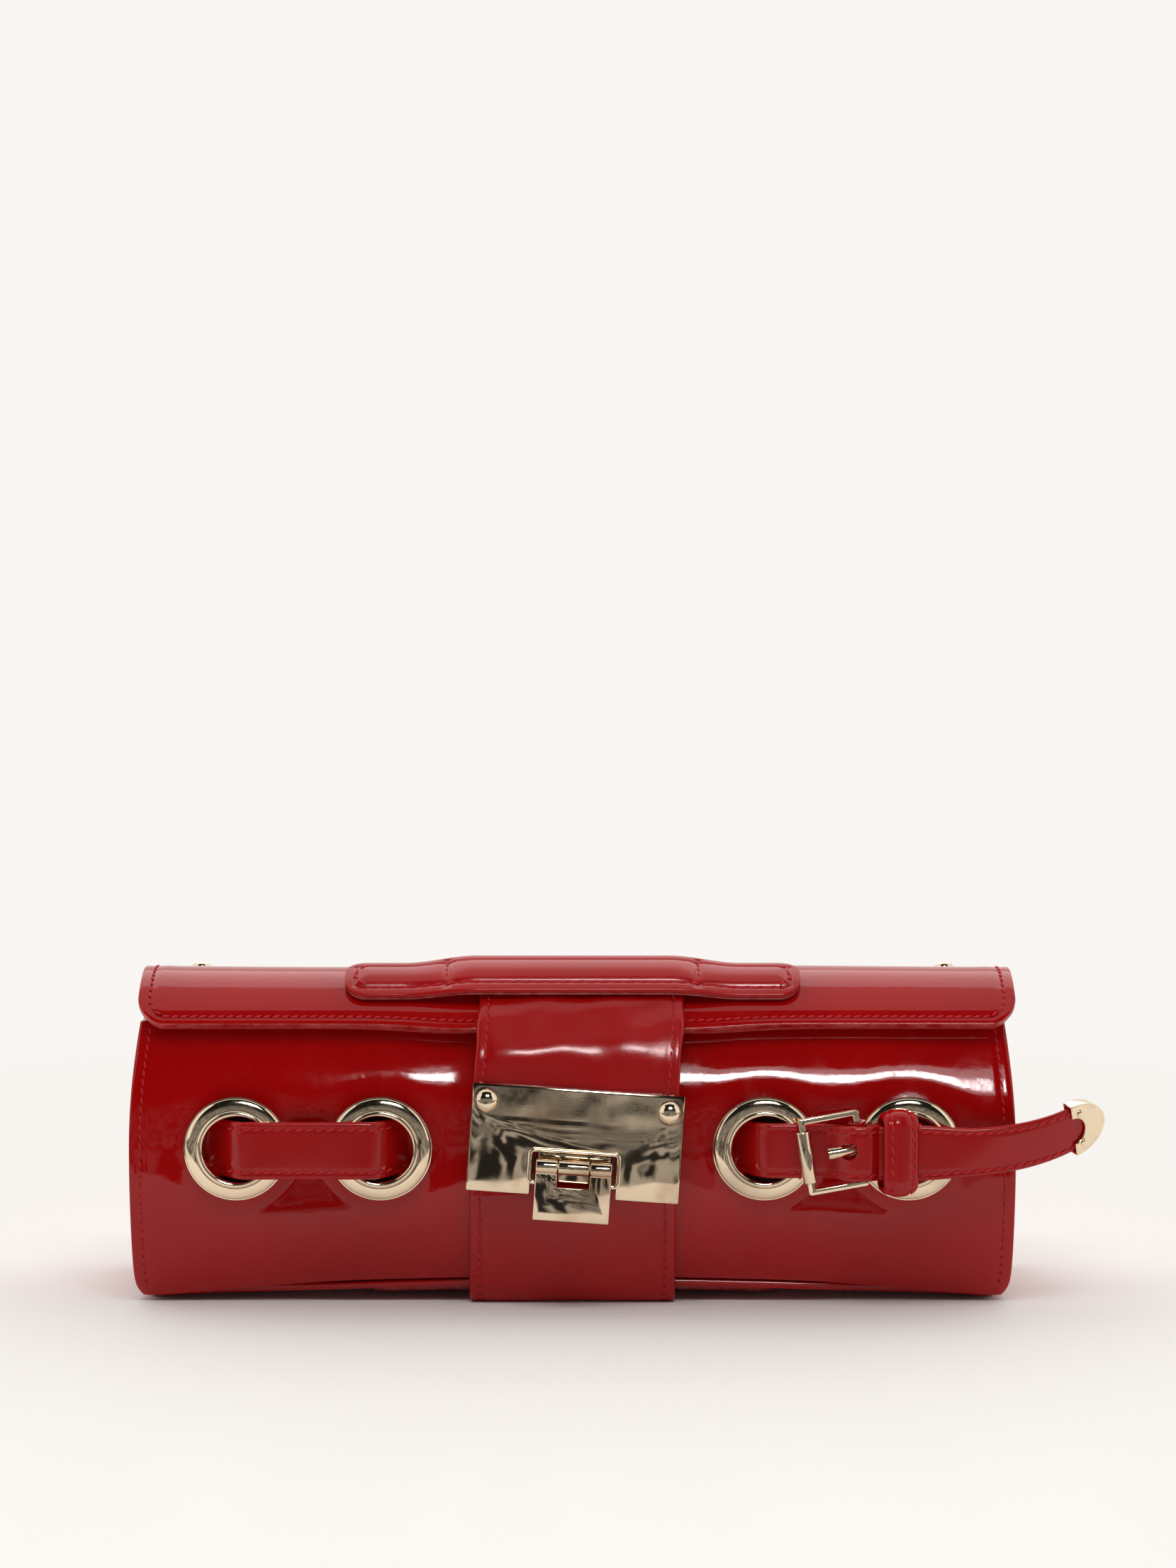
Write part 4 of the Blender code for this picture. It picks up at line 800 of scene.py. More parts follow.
def dressed(piece, key, body, *nodes):
    """Give a finished piece its material and body, and hide the frame parts of the nodes that it stands for."""
    if len(piece.data.materials) < 2:
        piece.data.materials.clear()
        piece.data.materials.append(finish_of(key))
        for face in piece.data.polygons:
            face.material_index = 0
    if body:
        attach(piece, body)
    if nodes:
        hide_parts(*nodes)
    return piece


def stitched(name, lines, pitch, thread, body):
    """Thread, and needle holes painted dark as their shade, along the same lines."""
    dressed(sewn(name + "_thread", lines, pitch, thread), "thread", body)
    dressed(pricked(name + "_holes", lines, pitch), "hole", body)


def machined(piece, edge, place, key, body, name):
    """Round a metal piece's edges, carry it to its place and dress it."""
    rounded(piece, edge, 40 * DEG)
    return dressed(smooth(moved(piece, place), 30 * DEG), key, body, name)


# Leather of the body

def front_relief(x, z, inset, groove, sag):
    """How the front leather moves off the plain barrel: seams sink, and the bare leather gives way."""
    edge = half_length(z) - np.abs(x)
    seam = -groove * bump(edge, inset, 0.7 * MM) - 0.5 * MM * bump(edge, 0, 1.4 * MM)
    welt = -0.45 * MM * np.exp(-np.maximum(z - SEAM_HEIGHT, 0) / (1.2 * MM))
    side = np.abs(x)
    pull = -sag * 0.8 * bump(side, STRAP_HALF + 4 * MM, 9 * MM) * bump(z, 52 * MM, 22 * MM)
    under = -sag * 0.6 * bump(z, 71 * MM, 8 * MM)
    slope = -sag * 1.3 * ease((x - 66 * MM) / (58 * MM)) * bump(z, 65 * MM, 15 * MM)
    ring, clear = 0, 1
    for middle in EYELETS.values():
        reach = np.hypot(x - middle, z - EYELET_HEIGHT)
        ring = ring - 0.34 * MM * bump(reach, 15.5 * MM, 4 * MM)
        clear = clear * ease((reach - 13 * MM) / (6 * MM))
    between = (OUTER_EYELET + INNER_EYELET) / 2
    dent = -sag * 2.7 * bump(side, between + 2 * MM, 20 * MM) * bump(z, 38 * MM, 12 * MM) * clear
    return seam + welt + pull + under + slope + ring + dent


def front_line(x, z):
    """Point on the front leather, and its outward direction, at a place seen from the front."""
    sizes = bpy.context.scene.purse_sizes
    angle = np.array([angle_at(h) for h in np.atleast_1d(z)])
    y, height = section(angle, front_relief(x, z, sizes.seam_inset, sizes.groove, sizes.sag))
    far_y, far_z = section(angle, 1.0)
    near_y, near_z = section(angle, 0.0)
    out = np.column_stack((np.zeros(len(angle)), far_y - near_y, far_z - near_z))
    return np.column_stack((x, y, hollowed(height, arch(x)))), out


class PURSE_OT_body(bpy.types.Operator):
    """Front, base and end leather, with their seams"""
    bl_idname = "purse.body"
    bl_label = "Body Leather"

    def execute(self, context):
        sizes = context.scene.purse_sizes

        def front(u, v):
            low = hem_angle(np.abs(2 * u - 1))
            angle = low + (RIM_ANGLE - low) * v
            y, z = section(angle)
            x = (2 * u - 1) * half_length(z)
            y, z = section(angle, front_relief(x, z, sizes.seam_inset, sizes.groove, sizes.sag))
            return x, y, hollowed(z, arch(x))

        piece = facing(grid("front_leather", 220, 76, front), outward)
        thick(piece, WALL * 0.9)
        for middle in EYELETS.values():
            place = Matrix.Translation((middle, -30 * MM, EYELET_HEIGHT)) @ FORWARD
            carved(piece, cylinder("hole", 10 * MM, 14 * MM, place))
        dressed(smooth(piece), "leather", "bag", "front_panel")

        lines = []
        to_back = np.array((1, -1, 1))
        for side in (-1, 1):
            z = np.linspace(3.2 * MM, 77 * MM, 62)
            line, out = front_line(side * (half_length(z) - sizes.seam_inset), z)
            lines += [(line, out), (line * to_back, out * to_back)]
        stitched("body_seam", lines, sizes.stitch_pitch, sizes.thread, "bag")

        def base(u, v):
            half = 24.75 * MM - HEM_TUCK * hem_share(np.abs(2 * u - 1))
            y = (2 * v - 1) * half
            reach = half_length(np.full_like(u, MM)) - 0.8 * MM
            x = (2 * u - 1) * trimmed(reach, 5 * MM, half - np.abs(y))
            return x, y, arch(x)

        piece = facing(grid("base_leather", 120, 28, base), lambda middles: -UP)
        dressed(smooth(thick(piece, BASE_THICK, 0.7 * MM)), "leather", "bag", "base_panel")

        for side, word in SIDES:
            self.end_panel(side, word)

        def patch(u, v):
            half = 19 * MM
            y = (2 * v - 1) * half
            x = (2 * u - 1) * trimmed(59 * MM, 9 * MM, half - np.abs(y) + FIT)
            return x, y, arch(x) - 2.1 * MM

        piece = facing(grid("base_patch_leather", 60, 30, patch), lambda middles: -UP)
        dressed(smooth(thick(piece, 1.7 * MM, 0.5 * MM)), "edge", "bag", "base_patch")
        return {'FINISHED'}

    @staticmethod
    def end_panel(side, word):
        """End panel: a soft dish with its edge turned outward and sewn to the body."""
        plate = HALF_LENGTH - 8.7 * MM
        inward = -2.4 * MM
        turn = 0.3
        low = angle_at(1.2 * MM)
        y, z = section(np.linspace(low, RIM_ANGLE, 40), inward)
        back_y, back_z = section(np.linspace(HINGE + 0.065, math.pi - low, 40), inward)
        share = np.linspace(0, 1, 22)[1:-1]
        top_y = y[-1] * (1 - share) + back_y[0] * share
        top_z = z[-1] * (1 - share) + back_z[0] * share + 4 * MM * np.sin(np.pi * share)
        floor_y = back_y[-1] * (1 - share) + y[0] * share
        rim_y = np.concatenate((y, top_y, back_y, floor_y))
        rim_z = hollowed(np.concatenate((z, top_z, back_z, np.full(len(share), z[0]))), float(arch(plate)))
        rim_y, rim_z = np.append(rim_y, rim_y[0]), np.append(rim_z, rim_z[0])
        count = len(rim_y) - 1

        def place(u, v):
            i = np.rint(u * count).astype(int)
            y, z = rim_y[i], rim_z[i]
            flange = np.clip(v / turn, 0, 1)
            shrink = 1 - 0.985 * np.clip((v - turn) / (1 - turn), 0, 1)
            x = (half_length(z) - 0.4 * MM) * (1 - flange) + plate * flange
            y, z = y * shrink, WAIST + (z - WAIST) * shrink
            crease = bump(y, 0, 3.5 * MM) * bump(z, 56 * MM, 26 * MM)
            dish = 3.8 * MM * (1 - shrink ** 2) * (1 - 0.5 * crease)
            return side * (x + dish + 0.6 * MM * bump(v, turn, 0.06)), y, z

        piece = closed_up(grid("end_leather_" + word, count, 40, place), fill=True)
        facing(piece, lambda middles: np.array((side, 0, 0)))
        applied(piece, 'SOLIDIFY', thickness=1.4 * MM, offset=1, use_even_offset=True)
        dressed(smooth(piece, 60 * DEG), "leather", "bag", "end_panel_" + word)


class PURSE_OT_flap(bpy.types.Operator):
    """Back and flap in one piece of leather, curved over the hinge, and the flap's lining"""
    bl_idname = "purse.flap"
    bl_label = "Back and Flap"

    def execute(self, context):
        sizes = context.scene.purse_sizes

        def past_hinge(angle):
            return ease((angle - HINGE + 0.3) / 0.6)

        def reach_of(angle):
            flap = trimmed(FLAP_HALF, FLAP_CORNER, (angle - LIP_ANGLE) * FLAP_RADIUS + FIT)
            share = past_hinge(angle)
            return flap * (1 - share) + half_length(section(angle)[1]) * share

        def shift_of(angle):
            return FLAP_SHIFT * (1 - past_hinge(angle))

        def lay(angle, x, reach):
            run = (angle - LIP_ANGLE) * FLAP_RADIUS
            side = reach - np.abs(x) - sizes.seam_inset + LIP_INSET
            near = np.minimum(side, np.where(run < 40 * MM, run, 1.0))
            groove = -sizes.groove * bump(near, LIP_INSET, 0.7 * MM)
            lip = -0.2 * MM * bump(run, 0, 1.5 * MM)
            puff = 0.1 * MM * bump(near, LIP_INSET + 3 * MM, 2.5 * MM)
            dip = 1.3 * MM * np.exp(-run / (9 * MM)) * (bump(np.abs(x), STRAP_HALF + 2 * MM, 16 * MM) - 0.35)
            slack = 0.35 * MM * np.sin(x / (31 * MM) + 0.5) * bump(angle, 1.9, 0.7)
            sink = -sizes.sag * 0.6 * bump(angle, math.pi, 0.5) * bump(x, 20 * MM, 70 * MM)
            offset = np.where(angle < HINGE, np.maximum(flap_offset(angle), 0), 0)
            return offset + groove + lip + puff + slack + sink, dip

        def place(u, v):
            last = math.pi - hem_angle(np.abs(2 * u - 1))
            angle = LIP_ANGLE + (last - LIP_ANGLE) * v
            reach = reach_of(angle)
            x = (2 * u - 1) * reach
            offset, dip = lay(angle, x, reach)
            y, z = section(angle - dip / FLAP_RADIUS * (angle < 1.6), offset)
            return x + shift_of(angle), y, hollowed(z, arch(x) * (angle > 1.6))

        piece = facing(grid("back_and_flap_leather", 220, 170, place), outward)
        thick(piece, FLAP_THICK * 0.92, 0.95 * MM, True)
        dressed(smooth(piece), "leather", None, "back_panel", "flap_shell")
        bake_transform(piece)

        edge = LIP_ANGLE + LIP_INSET / FLAP_RADIUS
        curve = FLAP_CORNER - 3 * MM
        inner = FLAP_HALF - sizes.seam_inset
        turn = np.linspace(0, math.pi / 2, 9)[1:-1]
        side_angles = np.concatenate((np.linspace(HINGE - 0.12, edge + curve / FLAP_RADIUS, 30),
                                      edge + curve * (1 - np.sin(turn)) / FLAP_RADIUS))
        side_xs = np.concatenate((np.full(30, inner), inner - curve * (1 - np.cos(turn))))
        angles = np.concatenate((side_angles, np.full(120, edge), side_angles[::-1]))
        xs = np.concatenate((-side_xs, np.linspace(-inner + curve, inner - curve, 120), side_xs[::-1]))
        offset, dip = lay(angles, xs, reach_of(angles))
        y, z = section(angles - dip / FLAP_RADIUS, offset + 0.16 * MM)
        far_y, far_z = section(angles, offset + 1.0)
        out = np.column_stack((np.zeros_like(y), far_y - y, far_z - z))
        line = (np.column_stack((xs + shift_of(angles), y, z)), out)
        stitched("flap_seam", (line,), sizes.stitch_pitch, sizes.thread * 1.2, "flap")

        def under(u, v):
            angle = LIP_ANGLE + 0.004 + (HINGE - 0.02 - LIP_ANGLE) * v
            reach = trimmed(FLAP_HALF - 0.5 * MM, FLAP_CORNER, (angle - LIP_ANGLE) * FLAP_RADIUS + FIT)
            x = (2 * u - 1) * reach
            dip = lay(angle, x * 0.9, reach)[1]
            y, z = section(angle - dip / FLAP_RADIUS, flap_offset(angle) - 2.5 * MM)
            return x + shift_of(angle), y, z

        piece = facing(grid("flap_lining_leather", 120, 50, under), outward)
        dressed(smooth(thick(piece, 1.1 * MM, 0.35 * MM)), "suede", "flap", "flap_lining")
        return {'FINISHED'}


class PURSE_OT_lining(bpy.types.Operator):
    """Cloth tub and slip pocket inside"""
    bl_idname = "purse.lining"
    bl_label = "Lining"

    def execute(self, context):
        floor = 8.85 * MM
        low = angle_at(floor - BASE_ARCH)
        rim_z = float(section(RIM_ANGLE)[1])
        front = np.linspace(RIM_ANGLE, low, 40)
        front_z = section(front)[1]
        room = 5.4 * MM * ease((rim_z - front_z) / (rim_z - 59.6 * MM))
        fy, fz = section(front, -WALL - FIT - room)
        by, bz = section(np.linspace(math.pi - low, HINGE + 0.066, 40), -WALL - FIT)
        share = np.linspace(0, 1, 14)[1:-1]
        y = np.concatenate((fy, fy[-1] * (1 - share) + by[0] * share, by))
        z = hollowed(np.concatenate((fz, np.full(len(share), 0.0), bz)), BASE_ARCH)
        z = np.maximum(z, floor)
        count = len(y) - 1

        def place(u, v):
            i = np.rint(v * count).astype(int)
            x = (2 * u - 1) * LINING_HALF
            pucker = 0.35 * MM * np.sin(x / (5 * MM)) * bump(z[i], rim_z, 9 * MM)
            return x, y[i] + np.where(y[i] < 0, np.abs(pucker), -np.abs(pucker)), z[i]

        tub = facing(grid("lining_tub", 120, count, place), outward)
        applied(tub, 'SOLIDIFY', thickness=0.8 * MM, offset=-1)
        dressed(smooth(tub, 60 * DEG), "lining", "bag", "lining")
        rim = np.append(y, y[0]), np.append(z, z[0])
        for side, word in SIDES:
            def end(u, v, side=side):
                y, z = (values[np.rint(u * (count + 1)).astype(int)] for values in rim)
                shrink = 1 - 0.99 * v
                fold = 0.4 * MM * np.sin(z / (6 * MM)) * bump(v, 0.4, 0.25)
                return side * (LINING_HALF - FIT - np.abs(fold)), y * shrink, WAIST + (z - WAIST) * shrink

            piece = closed_up(grid("lining_end_" + word, count + 1, 16, end), fill=True)
            facing(piece, lambda middles, side=side: np.array((side, 0, 0)))
            applied(piece, 'SOLIDIFY', thickness=0.6 * MM, offset=-1)
            dressed(smooth(piece, 60 * DEG), "lining", "bag")

        def pocket(u, v):
            top, low = angle_at(POCKET_TOP), angle_at(POCKET_LOW)
            angle = math.pi - top + (top - low) * v
            x = (2 * u - 1) * POCKET_HALF
            slack = 0.5 * MM * np.sin(np.pi * u) * (1 - v)
            py, pz = section(angle, -WALL - FIT - 0.9 * MM - FIT - slack)
            return x, py, hollowed(pz, BASE_ARCH)

        piece = facing(grid("slip_pocket_cloth", 60, 24, pocket), outward)
        dressed(smooth(thick(piece, 0.7 * MM, 0.2 * MM)), "lining", "bag", "slip_pocket")
        return {'FINISHED'}


class PURSE_OT_handle(bpy.types.Operator):
    """Padded top handle: three sewn cushions on a leather backing"""
    bl_idname = "purse.handle"
    bl_label = "Handle"

    @staticmethod
    def lift(x):
        """Rise over the closing strap."""
        return (STRAP_THICK + FIT) * ease((47 * MM - np.abs(x)) / (20 * MM))

    @staticmethod
    def span(x):
        """Front and back angles at a station, drawn in at the rounded ends."""
        cut = -trimmed(0.0, HANDLE_CORNER, HANDLE_HALF - np.abs(x)) / FLAP_RADIUS
        return HANDLE_FRONT + cut, HANDLE_BACK - cut

    def surface(self, x, across, height):
        """Point above the flap: across runs from 0 at the front edge to 1 at the back edge."""
        first, last = self.span(x)
        angle = first + (last - first) * across
        y, z = section(angle, flap_offset(angle) + FIT + self.lift(x) + height)
        return x, y, z

    @staticmethod
    def padding(x, across, rise):
        """Height of the padding: cushions between the cross seams, flat at the sewn edge."""
        edge = np.minimum(np.minimum(across, 1 - across) * HANDLE_WIDTH, HANDLE_HALF - np.abs(x))
        seam = np.abs(np.abs(x) - HANDLE_SEAM)
        swell = quarter_round(edge - HANDLE_INSET, 4.5 * MM) * quarter_round(seam, 9 * MM)
        groove = 0.34 * MM * bump(edge, HANDLE_INSET, 0.65 * MM) + 0.5 * MM * bump(seam, 0, 0.9 * MM)
        return HANDLE_EDGE + rise * swell - groove * (edge > 1.2 * MM)

    @staticmethod
    def round_trip(share, width):
        """Across over the top and back underneath, and how full the rounded edge is there."""
        across = np.where(share < 0.5, share * 2, 2 - share * 2)
        return across, quarter_round(np.minimum(across, 1 - across) * HANDLE_WIDTH, width)

    def execute(self, context):
        sizes = context.scene.purse_sizes
        end_turn, middle = math.pi / 2 * 0.96, 0.45 * MM

        def cushion(u, v):
            x = HANDLE_HALF * np.sin((2 * u - 1) * end_turn) / math.sin(end_turn) * 0.999
            across, soft = self.round_trip(v, 0.7 * MM)
            top = self.padding(x, across, sizes.cushion)
            height = np.where(v < 0.5, middle + (top - middle) * soft, middle * (1 - soft))
            return self.surface(x, across, BACKING_THICK + height)

        piece = closed_up(grid("handle_cushion", 240, 96, cushion), fill=True)
        dressed(smooth(piece, 60 * DEG), "pad", "flap", "handle_pad")

        def backing(u, v):
            half = BACKING_THICK / 2
            across, soft = self.round_trip(v, half)
            height = half + np.where(v < 0.5, half * soft, -half * soft)
            return self.surface((2 * u - 1) * HANDLE_HALF * 0.999, across, height)

        piece = closed_up(grid("handle_backing_leather", 160, 48, backing), fill=True)
        dressed(smooth(piece, 60 * DEG), "edge", "flap", "handle_backing")

        lines, seams = [], []
        inset = HANDLE_INSET / HANDLE_WIDTH
        ends, curve = HANDLE_HALF - HANDLE_INSET, 5 * MM
        corner = np.linspace(0, math.pi / 2, 8)[:-1]
        bend_x = ends - curve + curve * np.cos(corner)
        bend = curve * (1 - np.sin(corner)) / HANDLE_WIDTH
        rim_x = np.concatenate((-bend_x, np.linspace(curve - ends, ends - curve, 140), bend_x[::-1]))
        rim = inset + np.concatenate((bend, np.zeros(140), bend[::-1]))
        for across in (rim, 1 - rim):
            lines.append(self.on_top(rim_x, across, sizes.cushion))
        for side in (-1, 1):
            for found, x, margin, count in ((lines, ends, 0.25, 12), (seams, HANDLE_SEAM, 0.02, 24)):
                across = np.linspace(inset + margin, 1 - inset - margin, count)
                found.append(self.on_top(np.full(count, side * x), across, sizes.cushion))
        dressed(sewn("handle_thread", lines, 3.6 * MM, 0.8 * MM), "thread", "flap")
        dressed(sewn("handle_cross_thread", seams, 2.2 * MM, 0.95 * MM), "thread", "flap")
        return {'FINISHED'}

    def on_top(self, x, across, rise):
        """Line of stitches lying in the handle's top."""
        height = BACKING_THICK + self.padding(x, across, rise)
        spots = np.column_stack(self.surface(x, across, height + 0.08 * MM))
        away = np.column_stack(self.surface(x, across, height + 10 * MM))
        return spots, away - spots


def strap_paths():
    """Centre lines of the closing strap: over the flap, and under the base and up the front."""
    over = np.linspace(99 * DEG, FLAP_EDGE, 60)
    y, z = section(over, flap_offset(over) + FIT + STRAP_THICK / 2)
    start = np.array((y[-1], z[-1]))
    fall = np.array((y[-1] - y[-2], z[-1] - z[-2]))
    fall /= np.linalg.norm(fall)

    def seat(height):
        return np.array((SEAT_Y + STRAP_THICK / 2 + (height - LOCK_HEIGHT) * math.tan(LOCK_LEAN), height))

    top, low = seat(LOCK_HEIGHT + PLATE_HALF_H), seat(LOCK_HEIGHT - PLATE_HALF_H + FIT)
    down = (low - top) / np.linalg.norm(low - top)
    run = np.linalg.norm(start - top)
    bend = curved(np.linspace(0, 1, 34)[1:, None], start, start + fall * run / 2, top - down * run / 2, top)
    flat = top + (low - top) * np.linspace(0, 1, 20)[1:, None]
    upper = np.vstack((np.column_stack((y, z)), bend, flat))

    offset = FIT + STRAP_THICK / 2
    climb = np.linspace(angle_at(5.5 * MM), angle_at(LOCK_HEIGHT + 5.2 * MM), 60)
    rise = np.column_stack(section(climb, offset))
    corner, reach = rise[0], 3.5 * MM
    turn = np.array((corner[0] + reach, STRAP_THICK / 2))
    up = (rise[1] - corner) / np.linalg.norm(rise[1] - corner)
    sweep = curved(np.linspace(0, 1, 16)[:-1, None], turn, turn - np.array((reach / 2, 0)),
                   corner - up * reach / 2, corner)
    under = np.column_stack((np.linspace(14 * MM, turn[0], 24)[:-1], np.full(23, STRAP_THICK / 2)))
    lower = np.vstack((under, sweep, rise))
    askew = 0.5 * MM + 1.9 * MM * ease((upper[:, 1] - 50 * MM) / (36 * MM))
    return np.column_stack((askew, upper)), np.column_stack((np.zeros(len(lower)), lower))


class PURSE_OT_strap(bpy.types.Operator):
    """Closing strap down the middle, in two parts, with a sewn line along each edge"""
    bl_idname = "purse.strap"
    bl_label = "Closing Strap"

    def execute(self, context):
        sizes = context.scene.purse_sizes
        upper, lower = strap_paths()
        across = np.array((1.0, 0, 0))
        loop = strap_loop(STRAP_HALF, STRAP_THICK, STRAP_INSET, sizes.groove, 0.2 * MM, 40)
        for name, path, body, node_name, waves in (
                ("closing_strap_top", upper, "flap", "closing_strap_upper", (*mm(0.3, 17), 5)),
                ("closing_strap_front", lower, "bag", "closing_strap_lower", (*mm(0.12, 24), 8))):
            sides = np.tile(across, (len(path), 1))
            out = directions(path, sides)[1]
            out *= -np.sign(out[-1, 1])
            piece = softened(swept(name, path, sides, out, loop), *waves)
            if body == "flap":
                notch = block("notch", (-WINDOW_HALF, -60 * MM, -60 * MM), (WINDOW_HALF, 30 * MM, WINDOW_TOP))
                carved(piece, moved(notch, LOCK))
                smooth(piece, 50 * DEG)
            dressed(piece, "strap", body, node_name)
            lines = []
            for side in (-1, 1):
                line = path + out * (STRAP_THICK / 2 - 0.2 * MM) + across * side * (STRAP_HALF - STRAP_INSET)
                lines.append((line + out * unevenness(line, *waves)[:, None], out))
            stitched(name, lines, sizes.stitch_pitch * 1.05, sizes.thread, body)
        return {'FINISHED'}


class PURSE_OT_eyelets(bpy.types.Operator):
    """Four domed eyelets"""
    bl_idname = "purse.eyelets"
    bl_label = "Eyelets"

    def execute(self, context):
        turn = np.linspace(1.15 * math.pi, 0.1 * math.pi, 14)
        bead = [mm(9.95 + 0.9 * math.cos(a), 1.7 + 0.9 * math.sin(a)) for a in turn]
        slope = np.linspace(0.12, math.pi / 2, 12)
        face = [mm(10.75 + 3.3 * math.sin(a) ** 1.3, 0.75 + 1.25 * math.cos(a)) for a in slope]
        lip = [mm(14.15, 0.72), mm(14.35, 0.68), mm(14.4, 0.55), mm(14.4, 0.35), mm(9.7, 0.3), mm(9.7, -4.9),
               mm(9.0, -4.9)]
        for word, x in EYELETS.items():
            place = Matrix.Translation((x, -HALF_DEPTH, EYELET_HEIGHT)) @ FORWARD
            piece = turned("eyelet_ring_" + word, bead + face + lip, place, 112)
            dressed(piece, "metal", "bag", "eyelet_" + word)
        return {'FINISHED'}


def dive(x, first, last, count=26):
    """Belt passing through an eyelet, from one depth to another, left to right."""
    share = np.linspace(0, 1, count)
    return np.column_stack((x + BELT_RAMP * (2 * share - 1), first + (last - first) * ease(share),
                            np.full(count, EYELET_HEIGHT)))


def level(xs, y):
    """Straight run of belt."""
    xs = np.asarray(xs)
    return np.column_stack((xs, np.full(len(xs), y), np.full(len(xs), EYELET_HEIGHT)))


def tail_place(share):
    """Centre line of the belt's tail at shares of its length."""
    return np.column_stack((TAIL_START + FIT + TAIL_RUN * share, OVER_Y + TAIL_BACK * share ** 3,
                            EYELET_HEIGHT + TAIL_UP * share ** 3))


